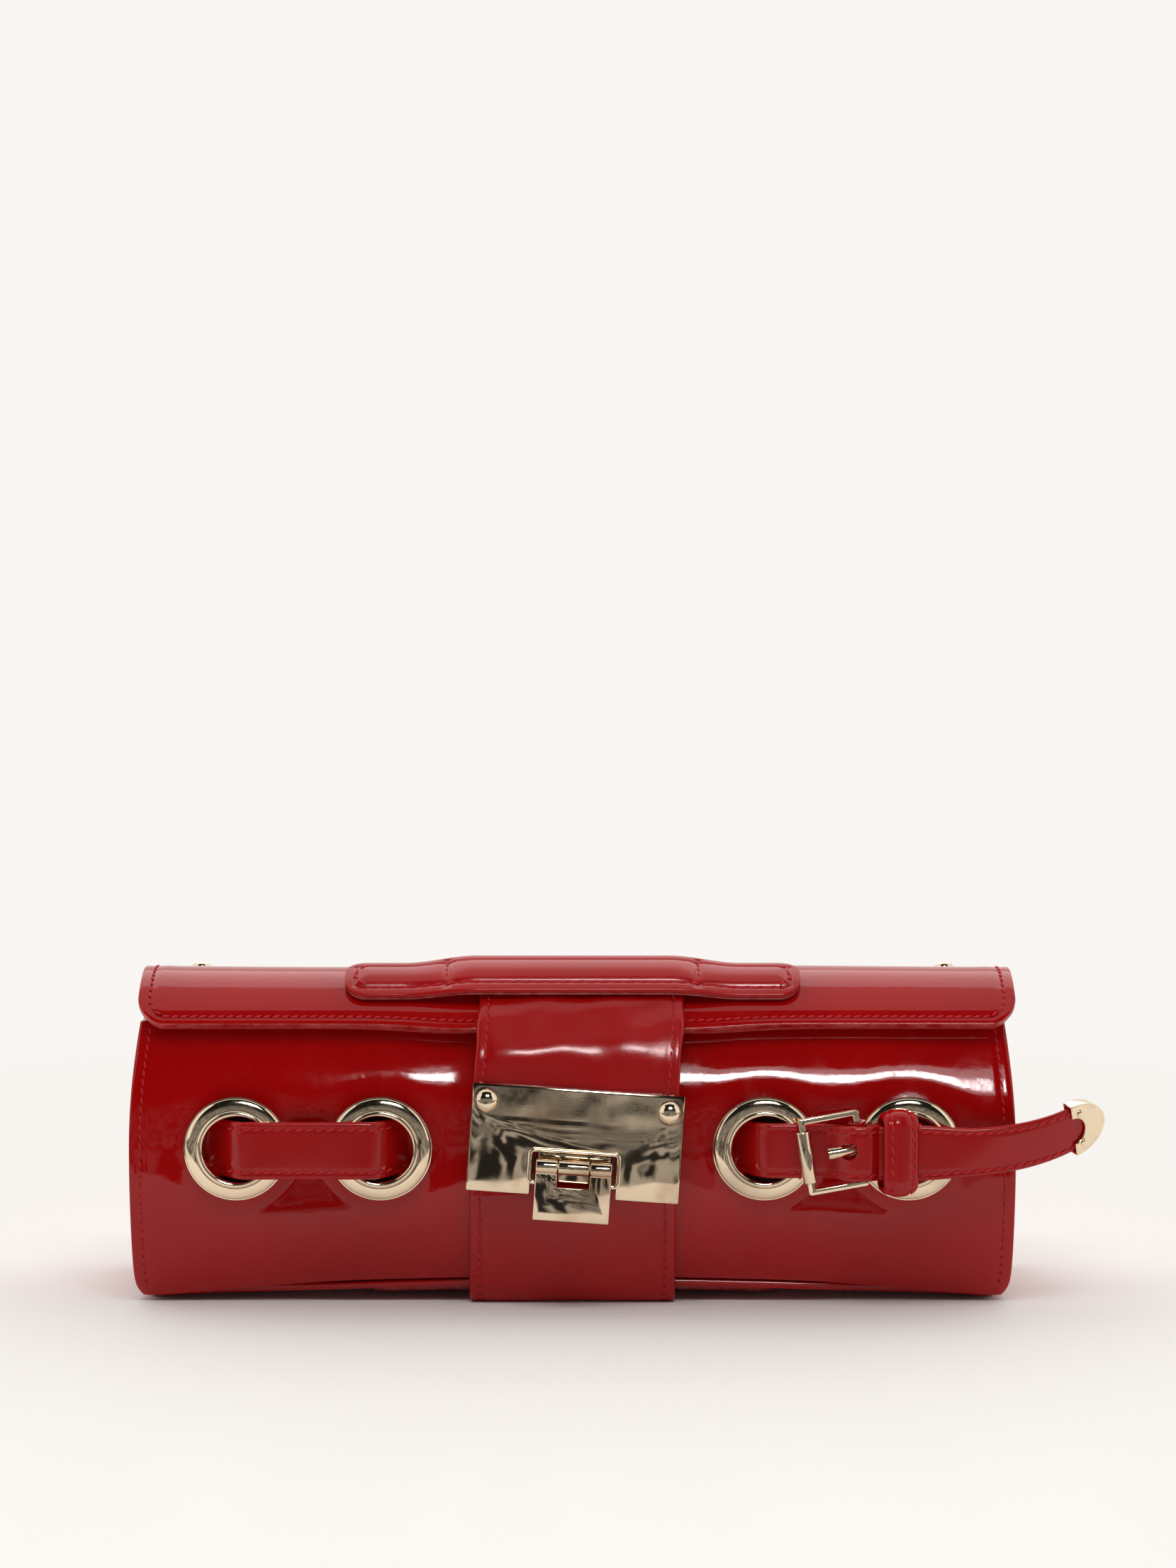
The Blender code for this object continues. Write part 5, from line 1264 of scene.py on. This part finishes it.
class PURSE_OT_belts(bpy.types.Operator):
    """Laced belts, keeper and tail"""
    bl_idname = "purse.belts"
    bl_label = "Belts"

    def execute(self, context):
        self.groove = context.scene.purse_sizes.groove
        self.thread = context.scene.purse_sizes.thread * 1.25
        self.left_belt()
        self.buckle_belt()
        self.tail_belt()
        self.keeper()
        return {'FINISHED'}

    def edge_thread(self, name, path, across, out, scale, first, last):
        """Stitches near both edges between two places along X."""
        pick = (path[:, 0] > first) & (path[:, 0] < last)
        path, across, out = path[pick], across[pick], out[pick]
        reach = across * ((BELT_HALF - BELT_INSET) * scale[pick])[:, None]
        face = path + out * (BELT_THICK / 2 - 0.12 * MM)
        return sewn(name, [(face - reach, out), (face + reach, out)], BELT_STITCH, self.thread)

    def left_belt(self):
        """Belt between the two left eyelets."""
        path = np.vstack((level(mm(-109, -103), BELT_IN),
                          dive(-OUTER_EYELET - 3 * MM, BELT_IN, BELT_OUT),
                          level(np.linspace(-85 * MM, -60 * MM, 26), BELT_OUT),
                          dive(-INNER_EYELET + 3 * MM, BELT_OUT, BELT_IN),
                          level(mm(-43, -37), BELT_IN)))
        across = np.tile(UP, (len(path), 1))
        out = directions(path, across)[1]
        out *= -np.sign(out[30, 1])
        loop = strap_loop(BELT_HALF + 0.4 * MM, BELT_THICK, 2.0 * MM, self.groove)
        dressed(swept("left_belt_leather", path, across, out, loop), "strap", "bag", "belt_left")
        thread = self.edge_thread("left_belt_thread", path, across, out, np.ones(len(path)), -95 * MM, -50 * MM)
        dressed(thread, "thread", "bag")

    def buckle_belt(self):
        """Belt that goes in through the right eyelet, folded round the hidden bar of the buckle."""
        a = np.linspace(0, math.pi / 2, 12)
        turn_x, radius = mm(95.5, 2)
        first = np.column_stack((turn_x - radius + radius * np.sin(a), UNDER_Y + radius - radius * np.cos(a)))
        second = np.column_stack((turn_x + radius - radius * np.cos(a), BELT_IN - radius + radius * np.sin(a)))
        flat = np.vstack(((BAR_X + 1.9 * MM, UNDER_Y), (86 * MM, UNDER_Y), first, second, (109 * MM, BELT_IN)))
        path = np.column_stack((flat, np.full(len(flat), EYELET_HEIGHT)))
        across = np.tile(UP, (len(path), 1))
        out = directions(path, across)[1]
        out *= -np.sign(out[1, 1])
        loop = strap_loop(BELT_HALF, 1.6 * MM, BELT_INSET, self.groove)
        piece = swept("buckle_belt_leather", path, across, out, loop)
        carved(piece, cylinder("fold", EYE_RADIUS, 14.6 * MM, BUCKLE), 'UNION')
        carved(piece, cylinder("bar_hole", BAR_RADIUS, 30 * MM, BUCKLE))
        slot = block("prong_slot", mm(-5, -5, -1.8), mm(2.9, 5, 1.8))
        carved(piece, moved(slot, BUCKLE))
        dressed(smooth(piece, 50 * DEG), "strap", "bag", "belt_buckle_side")

    def tail_belt(self):
        """Belt from the inner eyelet under the roller, over the bar, through the keeper to its capped end."""
        hump = UNDER_Y - EYE_RADIUS - FIT - BELT_THICK / 2
        climb = np.linspace(0, 1, 26)
        start, top = BAR_X - 10.2 * MM, BAR_X - EYE_RADIUS / 2
        rise = np.column_stack((start + (top - start) * climb, BELT_OUT + (hump - BELT_OUT) * ease(climb)))
        fall = np.linspace(0, 1, 14)
        start, end = BAR_X + EYE_RADIUS / 2, BAR_X + 2 * EYE_RADIUS
        drop = np.column_stack((start + (end - start) * fall, hump + (OVER_Y - hump) * ease(fall)))
        plain = np.vstack((level(mm(36.5, 42), BELT_IN), dive(INNER_EYELET - 4 * MM, BELT_IN, BELT_OUT),
                           level(np.linspace(59 * MM, 67.5 * MM, 8), BELT_OUT),
                           np.column_stack((rise, np.full(26, EYELET_HEIGHT))),
                           np.column_stack((drop, np.full(14, EYELET_HEIGHT))),
                           level(np.linspace(85 * MM, 94 * MM, 8), OVER_Y)))
        share = np.linspace(0, 1, 46)
        bend = tail_place(share)
        ahead = unit(bend[-1:] - bend[-2:-1])
        along = np.linspace(0, TAIL_TIP, 16)[1:-1]
        path = np.vstack((plain, bend, bend[-1] + ahead * along[:, None]))
        narrowed = 1 - (1 - TAIL_SCALE) * ease(share / 0.4)
        rounded_tip = np.sqrt(1 - (along / TAIL_TIP) ** 2)
        scale = np.concatenate((np.ones(len(plain)), narrowed, TAIL_SCALE * rounded_tip))
        roll = TAIL_ROLL * np.concatenate((np.zeros(len(plain)), ease(share), np.ones(len(along))))
        tangent, out = directions(path, np.tile(UP, (len(path), 1)))
        out = -out * np.sign(out[len(plain) - 2, 1])
        across = np.cross(out, tangent)
        across *= np.sign(across[:, 2])[:, None]
        cos, sin = np.cos(roll)[:, None], np.sin(roll)[:, None]
        across, out = across * cos + out * sin, out * cos - across * sin
        piece = swept("tail_belt_leather", path, across, out,
                      strap_loop(BELT_HALF, BELT_THICK, BELT_INSET, self.groove), scale)
        slot = block("prong_slot", mm(-6.0, -20, -2.2), mm(-1.6, 20, 2.2))
        carved(piece, moved(rounded(slot, 1.7 * MM, 60 * DEG, 4), BUCKLE))
        dressed(smooth(piece, 50 * DEG), "strap", None, "belt_tip_side", "belt_tail")
        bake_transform(piece)
        thread = self.edge_thread("tail_belt_thread", path, across, out, scale, 55 * MM, 138.5 * MM)
        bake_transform(dressed(thread, "thread", None))

    def keeper(self):
        """Sewn loop round both belts."""
        low, high = mm(-41.5, -35.5)
        pivot = np.array((KEEPER_X, (low + high) / 2, EYELET_HEIGHT))
        ring = [(0, y, z) for y, z in round_cornered(low, high, *mm(9.9, 2.4), 10)]
        ring = np.array(ring + ring[:1]) + np.array((KEEPER_X, 0, EYELET_HEIGHT))
        run = run_of(ring)
        path = read_at(np.linspace(0, run[-1], 90), run, ring)
        across = np.tile((1.0, 0, 0), (len(path), 1))
        tangent = np.roll(path, -1, axis=0) - np.roll(path, 1, axis=0)
        tangent[0] = tangent[-1] = path[1] - path[-2]
        out = np.cross(unit(tangent), across)
        out *= np.sign(np.sum(out * (path - pivot), axis=1))[:, None]
        width = -KEEPER_HALF * np.cos(np.pi * np.arange(29) / 28)
        bulge = np.sqrt(np.maximum(0.0, 1 - (width / KEEPER_HALF) ** 2))
        face = 2.2 * MM * bulge - 0.35 * MM * bump(np.abs(width), KEEPER_SEAM, 0.5 * MM)
        loop = two_faced(width, face, -0.7 * MM * bulge)
        piece = swept("keeper_leather", path, across, out, loop, ring=True)
        turn = Matrix.Translation(pivot) @ Matrix.Rotation(KEEPER_TURN, 4, 'Z') @ Matrix.Translation(-pivot)
        dressed(moved(piece, turn), "strap", "keeper", "belt_keeper")
        front = out[:, 1] < -0.3
        lines = []
        for side in (-1, 1):
            line = path[front] + out[front] * 1.58 * MM + across[front] * side * KEEPER_SEAM
            lines.append((line, out[front]))
        dressed(moved(sewn("keeper_thread", lines, BELT_STITCH, self.thread), turn), "thread", "keeper")


class PURSE_OT_lock(bpy.types.Operator):
    """Flip lock: plate with a rimmed window, rivets, hasp and tongue"""
    bl_idname = "purse.lock"
    bl_label = "Flip Lock"

    def execute(self, context):
        back, front = -FIT, PLATE_FRONT
        outline = [(WINDOW_HALF, WINDOW_TOP), (WINDOW_HALF, -PLATE_HALF_H), (PLATE_HALF_W, -PLATE_HALF_H),
                   (PLATE_HALF_W, PLATE_HALF_H)]
        outline += [(-x, z) for x, z in outline[::-1]]
        plate = prism("lock_plate_metal", [(x, back, z) for x, z in outline], (0, front - back, 0))
        for corner in plate.data.vertices:
            if corner.co.y < front / 2:
                corner.co.y -= PLATE_TAPER * (PLATE_HALF_H - corner.co.z)
        rounded(plate, 0.6 * MM, 30 * DEG, 2)
        for side in (-1, 1):
            cup = Matrix.Translation((side * RIVET_X, front, RIVET_Z)) @ FORWARD
            carved(plate, cylinder("cup", *mm(3.7, 0.5), cup))
        dressed(smooth(moved(plate, LOCK), 30 * DEG), "plate", "flap", "lock_plate")

        path = []
        for height, first, last in ((-10.0, -math.pi / 2 - 0.9, 0), (-3.7, 0, math.pi / 2)):
            for a in np.linspace(first, last, 10):
                path.append((10.9 + 1.3 * math.cos(a), height + 1.3 * math.sin(a)))
        x, z = np.array(path + [(-x, z) for x, z in path[::-1]]).T * MM
        path = np.column_stack((x, front - 0.15 * MM - PLATE_TAPER * (PLATE_HALF_H - z), z))
        facing_out = np.tile((0.0, -1.0, 0.0), (len(path), 1))
        tangent = unit(np.gradient(path, axis=0))
        a = np.linspace(0, 2 * math.pi, 17)[:-1]
        bead = np.column_stack((0.62 * MM * np.cos(a), 0.55 * MM * np.sin(a)))
        rim = swept("lock_window_rim", path, np.cross(tangent, facing_out), facing_out, bead)
        dressed(moved(rim, LOCK), "metal", "flap")

        rivet = dome(*mm(3.1, 2.5, 1.1, 4.3))
        for side, word in SIDES:
            place = LOCK @ Matrix.Translation((side * RIVET_X, front - 0.1 * MM, RIVET_Z)) @ FORWARD
            piece = turned("lock_rivet_dome_" + word, rivet, place, 48, False)
            dressed(piece, "metal", "flap", "lock_rivet_" + word)

        def bore():
            return cylinder("bore", PIN_BORE, 40 * MM, SIDEWAYS)

        tongue = self.knuckled("lock_tongue_metal", TONGUE_HALF, KNUCKLE, 0.85 * MM, (0, -TONGUE_LENGTH))
        carved(tongue, block("notch", mm(-4.5, -20, -5.6), mm(4.5, 20, 20)))
        machined(carved(tongue, bore()), 0.28 * MM, PIN, "plate", "tongue", "lock_tongue")

        hasp = self.knuckled("lock_hasp_metal", HASP_HALF, KNUCKLE, 1.6 * MM, mm(5.1, 0))
        carved(hasp, block("foot", mm(-10.1, 4.55, -6.4), mm(10.1, 5.7, 3.2)), 'UNION')
        machined(carved(hasp, bore()), 0.2 * MM, PIN, "plate", "bag", "lock_hasp")
        return {'FINISHED'}

    @staticmethod
    def knuckled(name, half_width, radius, leg_half, leg):
        """Barrel round the pin with a straight leg, drawn square to the pin and extruded along it."""
        start = math.asin(leg_half / radius)
        reach = math.atan2(leg[1], leg[0])
        turn = reach + start + (2 * math.pi - 2 * start) * np.linspace(0, 1, 33)
        points = [(radius * math.cos(a), radius * math.sin(a)) for a in turn]
        side = (-math.sin(reach) * leg_half, math.cos(reach) * leg_half)
        points += [(leg[0] - side[0], leg[1] - side[1]), (leg[0] + side[0], leg[1] + side[1])]
        return prism(name, [(-half_width, y, z) for y, z in points], (2 * half_width, 0, 0))


class PURSE_OT_buckle(bpy.types.Operator):
    """Roller buckle with its prong, and the cap on the belt's tail"""
    bl_idname = "purse.buckle"
    bl_label = "Buckle and Cap"

    @staticmethod
    def slab(name, left, right, half, corner, depth):
        """Rectangle with rounded corners in the buckle's own plane, extruded to both sides of it."""
        outline = [(x, -depth / 2, z) for x, z in round_cornered(left, right, half, corner, 6)]
        return prism(name, outline, (0, depth, 0))

    def execute(self, context):
        length, bar = BUCKLE_LENGTH, BUCKLE_BAR
        piece = self.slab("buckle_frame_metal", -length - bar, bar, BUCKLE_HALF, 0.9 * MM, 2 * bar)
        carved(piece, self.slab("hole", bar - length, -bar, *mm(9.1, 0.3, 10)))
        machined(piece, 0.32 * MM, BUCKLE, "metal", "buckle", "buckle_frame")

        lip = [(BAR_RADIUS, ROLLER_HALF), (1.8 * MM, ROLLER_HALF), (1.97 * MM, ROLLER_HALF - 0.12 * MM)]
        profile = lip + [(2.03 * MM, ROLLER_HALF - 0.35 * MM), (2.03 * MM, 0.4 * MM - ROLLER_HALF)]
        profile += [(radius, -height) for radius, height in lip[::-1]]
        piece = turned("buckle_roller_sleeve", profile, BUCKLE @ Matrix.Translation((-length, 0, 0)), 48)
        dressed(piece, "plate", "roller", "buckle_roller")

        here = Matrix.Identity(4)
        prong = cylinder("buckle_prong_metal", *mm(2.33, 3), here)
        lie = Matrix.Translation(mm(-5.5, -0.9, 0)) @ SIDEWAYS
        carved(prong, cylinder("arm", *mm(1.75, 7.6), lie, 32), 'UNION')
        carved(prong, cylinder("bore", BAR_RADIUS, 30 * MM, here))
        machined(prong, 0.3 * MM, BUCKLE, "metal", "prong", "buckle_prong")
        self.cap()
        return {'FINISHED'}

    @staticmethod
    def cap():
        """Horseshoe cap, open towards the belt, with two small rivets."""
        tip, before = tail_place(np.array((1, 1 - 1 / 121)))
        tangent = Vector(tip - before).normalized()
        out = -(Vector((0, 0, 1)).cross(tangent)).normalized()
        across = out.cross(tangent).normalized()
        twist = Matrix.Rotation(TAIL_ROLL, 3, tangent)
        out, across = twist @ out, twist @ across
        place = Matrix((tangent, -out, across)).transposed().to_4x4()
        place.translation = Vector(tip)

        def tongue_shape(name, first, length, half, y):
            turn = np.linspace(0, 1, 22) * math.pi / 2
            low = [(first, y, -half)] + [(length * math.sin(t), y, -half * math.cos(t)) for t in turn]
            return prism(name, low + [(x, y, -z) for x, y, z in low[-2::-1]], (0, -2 * y, 0))

        mouth = -0.7 * MM
        cap = tongue_shape("tail_cap_metal", mouth, *mm(10, 7.7, -1.9))
        carved(cap, tongue_shape("hollow", *mm(-10, 9.3, 7.0, -1.2)))
        carved(cap, cylinder("notch", *mm(3.9, 20), Matrix.Translation((mouth, 0, 0)) @ FORWARD))
        machined(cap, 0.3 * MM, place, "metal", "tail", "tail_cap")
        rivet = dome(*mm(1.2, 0.55, 0.7, 3.9))
        for side, word in ((1, "upper"), (-1, "lower")):
            spot = place @ Matrix.Translation(mm(2.2, -1.95, side * 4.6)) @ FORWARD
            piece = turned("tail_cap_rivet_" + word, rivet, spot, 32, False)
            dressed(piece, "metal", "tail", "cap_rivet_" + word)


class PURSE_OT_studs(bpy.types.Operator):
    """Domed studs at the back of the flap, and the finish of what is hidden inside"""
    bl_idname = "purse.studs"
    bl_label = "Studs and Inner Metal"

    def execute(self, context):
        (y, z), (near_y, near_z) = ([float(v) for v in section(a, flap_offset(a) + 0.15 * MM)]
                                    for a in (STUD_ANGLE, STUD_ANGLE - 0.006))
        out = Vector((0, near_z - z, y - near_y)).normalized()
        turn = Vector((0, 0, 1)).rotation_difference(out).to_matrix().to_4x4()
        stud = dome(*mm(3, 2.4, 1.1, 5))
        for side, word in SIDES:
            place = Matrix.Translation((side * STUD_X, y, z)) @ turn
            piece = turned("flap_stud_dome_" + word, stud, place, 48, False)
            dressed(piece, "metal", "flap", "flap_stud_" + word)
        for name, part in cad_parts.items():
            if part.hide_render:
                continue
            part.data.materials.clear()
            part.data.materials.append(finish_of("board" if name == "base_board" else "inner"))
        return {'FINISHED'}


CAMERA_PLACE = (4.3 * MM, -1.041, 226.7 * MM)
CAMERA_TILT = 4.62 * DEG
# Name, place, size and power of each lamp, and the rays that pass it by
LAMPS = (
    ("key_strip", (0.12, -1.28, 0.9), (0.42, 0.16), 7.7, "visible_diffuse"),
    ("key_halo", (0.2, -1.3, 0.95), (0.5, 0.34), 2.4, "visible_diffuse"),
    ("back_glow", (0.0, 1.3, 1.6), (2.4, 1.4), 12.0, "visible_diffuse"),
    ("top_fill", (0.0, -0.62, 1.25), (0.9, 0.4), 5.7, "visible_glossy"),
)
# How bright the sky is along an arc from the front horizon, overhead and down to the back horizon
SKY = ((0.0, 0.1), (0.12, 0.03), (0.24, 0.03), (0.33, 0.2), (0.44, 0.95), (0.6, 2.0), (1.0, 2.4))
SKY_LEVEL = 0.62
SKY_TINT = (1.0, 0.985, 0.965, 1)
CLOTH_RUN = np.array(((-0.165, 0.002), (-2.4, 0.002), (-2.4, 3.2), (-0.7, 3.2)))
CLOTH_HALF = 2.4


class PURSE_OT_stage(bpy.types.Operator):
    """Pale floor, soft studio light and the camera"""
    bl_idname = "purse.stage"
    bl_label = "Stage"

    def execute(self, context):
        scene = context.scene
        colour = scene.purse_colours.backdrop
        scene.view_settings.view_transform = 'Standard'
        self.floor(colour)
        self.reflection_glow_sheet()
        self.world(scene, colour)
        for name, place, size, power, unlit in LAMPS:
            setattr(self.lamp(name, place, size, power), unlit, False)
        camera = bpy.data.objects.new("camera", bpy.data.cameras.new("camera"))
        scene.collection.objects.link(camera)
        camera.data.lens = 85
        camera.data.sensor_width = 36
        camera.data.clip_start = 0.05
        camera.location = CAMERA_PLACE
        camera.rotation_euler = (math.pi / 2 - CAMERA_TILT, 0, 0)
        scene.camera = camera
        return {'FINISHED'}

    @staticmethod
    def floor(colour):
        """Paper floor that fades into the backdrop."""
        paper = added("floor_paper", "plane", size=12)
        material, tree, shader = fresh("floor_paper")
        fed(tree, shader, Roughness=0.9, Specular_IOR_Level=0.1, Base_Color=(*(0.92 * c for c in colour), 1))
        spot = tree.nodes.new("ShaderNodeTexCoord").outputs["Object"]
        far = node(tree, "ShaderNodeVectorMath", Vector=spot)
        far.operation = 'LENGTH'
        glow = node(tree, "ShaderNodeEmission", Color=(*colour, 1), Strength=1.0)
        fade = ramp(tree, far.outputs["Value"], 0.22, 0.5, 0.0, 1.0)
        blended(tree, fade, shader.outputs["BSDF"], glow.outputs["Emission"], "Material Output")
        paper.data.materials.append(material)

    @staticmethod
    def reflection_glow_sheet():
        """Sheet over the front of the table and up behind the camera, seen by gloss alone: it glows in patches,
        brighter low over the table and dim higher up, as painted light for the room seen in reflections.
        """
        marks = range(len(CLOTH_RUN))

        def place(u, v):
            along = v * marks[-1]
            return ((2 * u - 1) * CLOTH_HALF, np.interp(along, marks, CLOTH_RUN[:, 0]),
                    np.interp(along, marks, CLOTH_RUN[:, 1]))

        cloth = grid("reflection_glow_sheet", 2, 3, place)
        material, tree = fresh("reflection_glow_sheet")[:2]
        spot = tree.nodes.new("ShaderNodeTexCoord").outputs["Object"]
        height = node(tree, "ShaderNodeSeparateXYZ", Vector=spot).outputs["Z"]
        # Painted light for reflections: patchy glow, bright low down and dim higher up
        patches = ramp(tree, grain(tree, 1.0, 2.0, (25, 4, 24), 0.45), 0.48, 0.55, 0.02, 0.45)
        low = ramp(tree, height, 0.38, 0.87, 1.0, 0.06)
        glow = node(tree, "ShaderNodeEmission", Color=(1.0, 0.97, 0.93, 1),
                    Strength=figured(tree, 'MULTIPLY', patches, low))
        tree.links.new(glow.outputs["Emission"], tree.nodes["Material Output"].inputs["Surface"])
        cloth.data.materials.append(material)
        cloth.visible_camera = cloth.visible_diffuse = cloth.visible_shadow = False

    @staticmethod
    def world(scene, colour):
        """Soft light from above and behind; camera, gloss and glass see plain paper."""
        world = bpy.data.worlds.new("studio")
        scene.world = world
        world.use_nodes = True
        tree = world.node_tree
        spot = tree.nodes.new("ShaderNodeTexCoord").outputs["Generated"]
        axes = node(tree, "ShaderNodeSeparateXYZ", Vector=spot).outputs
        rise = figured(tree, 'ARCTAN2', axes["Z"], figured(tree, 'MULTIPLY', axes["Y"], -1.0))
        over = ramp(tree, rise, 0.0, math.pi, 0.0, 1.0)
        sky = node(tree, "ShaderNodeValToRGB", Fac=over)
        marks = sky.color_ramp.elements
        while len(marks) < len(SKY):
            marks.new(0.5)
        for mark, (place, shade) in zip(marks, SKY):
            mark.position = place
            mark.color = (shade, shade, shade, 1)
        cloud = node(tree, "ShaderNodeTexNoise", Vector=spot, Scale=58.0, Detail=2.0, Roughness=0.45)
        patches = ramp(tree, cloud.outputs["Fac"], 0.49, 0.56, -0.1, 0.6)
        room = figured(tree, 'MULTIPLY', patches, ramp(tree, over, 0.05, 0.11, 1.0, 0.0))
        walls = ramp(tree, figured(tree, 'ABSOLUTE', axes["X"]), 0.5, 0.9, 0.0, 0.8)
        total = figured(tree, 'ADD', sky.outputs["Color"], figured(tree, 'ADD', walls, room))
        light = fed(tree, tree.nodes["Background"], Color=SKY_TINT,
                    Strength=figured(tree, 'MULTIPLY', total, SKY_LEVEL))
        paper = node(tree, "ShaderNodeBackground", Color=(*colour, 1), Strength=1.0)
        ray = tree.nodes.new("ShaderNodeLightPath").outputs
        seen = ray["Is Camera Ray"]
        for word in ("Is Glossy Ray", "Is Transmission Ray"):
            seen = figured(tree, 'MAXIMUM', seen, ray[word])
        blended(tree, seen, light.outputs["Background"], paper.outputs["Background"], "World Output")

    @staticmethod
    def lamp(name, place, size, power):
        """Rectangular soft lamp aimed at the purse."""
        data = bpy.data.lights.new(name, 'AREA')
        data.shape = 'RECTANGLE'
        data.size, data.size_y = size
        data.energy = power
        lamp = bpy.data.objects.new(name, data)
        lamp.location = place
        lamp.rotation_euler = (Vector((0, 0, WAIST)) - Vector(place)).to_track_quat('-Z', 'Y').to_euler()
        bpy.context.scene.collection.objects.link(lamp)
        return lamp


STEPS = (PURSE_OT_stage, PURSE_OT_body, PURSE_OT_flap, PURSE_OT_lining, PURSE_OT_handle, PURSE_OT_strap,
         PURSE_OT_eyelets, PURSE_OT_belts, PURSE_OT_lock, PURSE_OT_buckle, PURSE_OT_studs)


class VIEW3D_PT_purse(bpy.types.Panel):
    """Sidebar panel of the clutch"""
    bl_idname = "VIEW3D_PT_purse"
    bl_label = "Clutch"
    bl_space_type = 'VIEW_3D'
    bl_region_type = 'UI'
    bl_category = "Clutch"

    def draw(self, context):
        for group in (context.scene.purse_sizes, context.scene.purse_colours):
            for key in group.bl_rna.properties.keys():
                if key not in ("rna_type", "name"):
                    self.layout.prop(group, key)
        for step in STEPS:
            self.layout.operator(step.bl_idname)


CLASSES = (PurseSizes, PurseColours, *STEPS, VIEW3D_PT_purse)


def register():
    """Add the classes and the scene's settings."""
    for cls in CLASSES:
        bpy.utils.register_class(cls)
    bpy.types.Scene.purse_sizes = bpy.props.PointerProperty(type=PurseSizes)
    bpy.types.Scene.purse_colours = bpy.props.PointerProperty(type=PurseColours)


def unregister():
    """Remove them again."""
    del bpy.types.Scene.purse_colours
    del bpy.types.Scene.purse_sizes
    for cls in reversed(CLASSES):
        bpy.utils.unregister_class(cls)


def main():
    """Build the purse and its stage."""
    register()
    for step in STEPS:
        group, word = step.bl_idname.split(".")
        getattr(getattr(bpy.ops, group), word)()


if __name__ == "__main__":
    main()
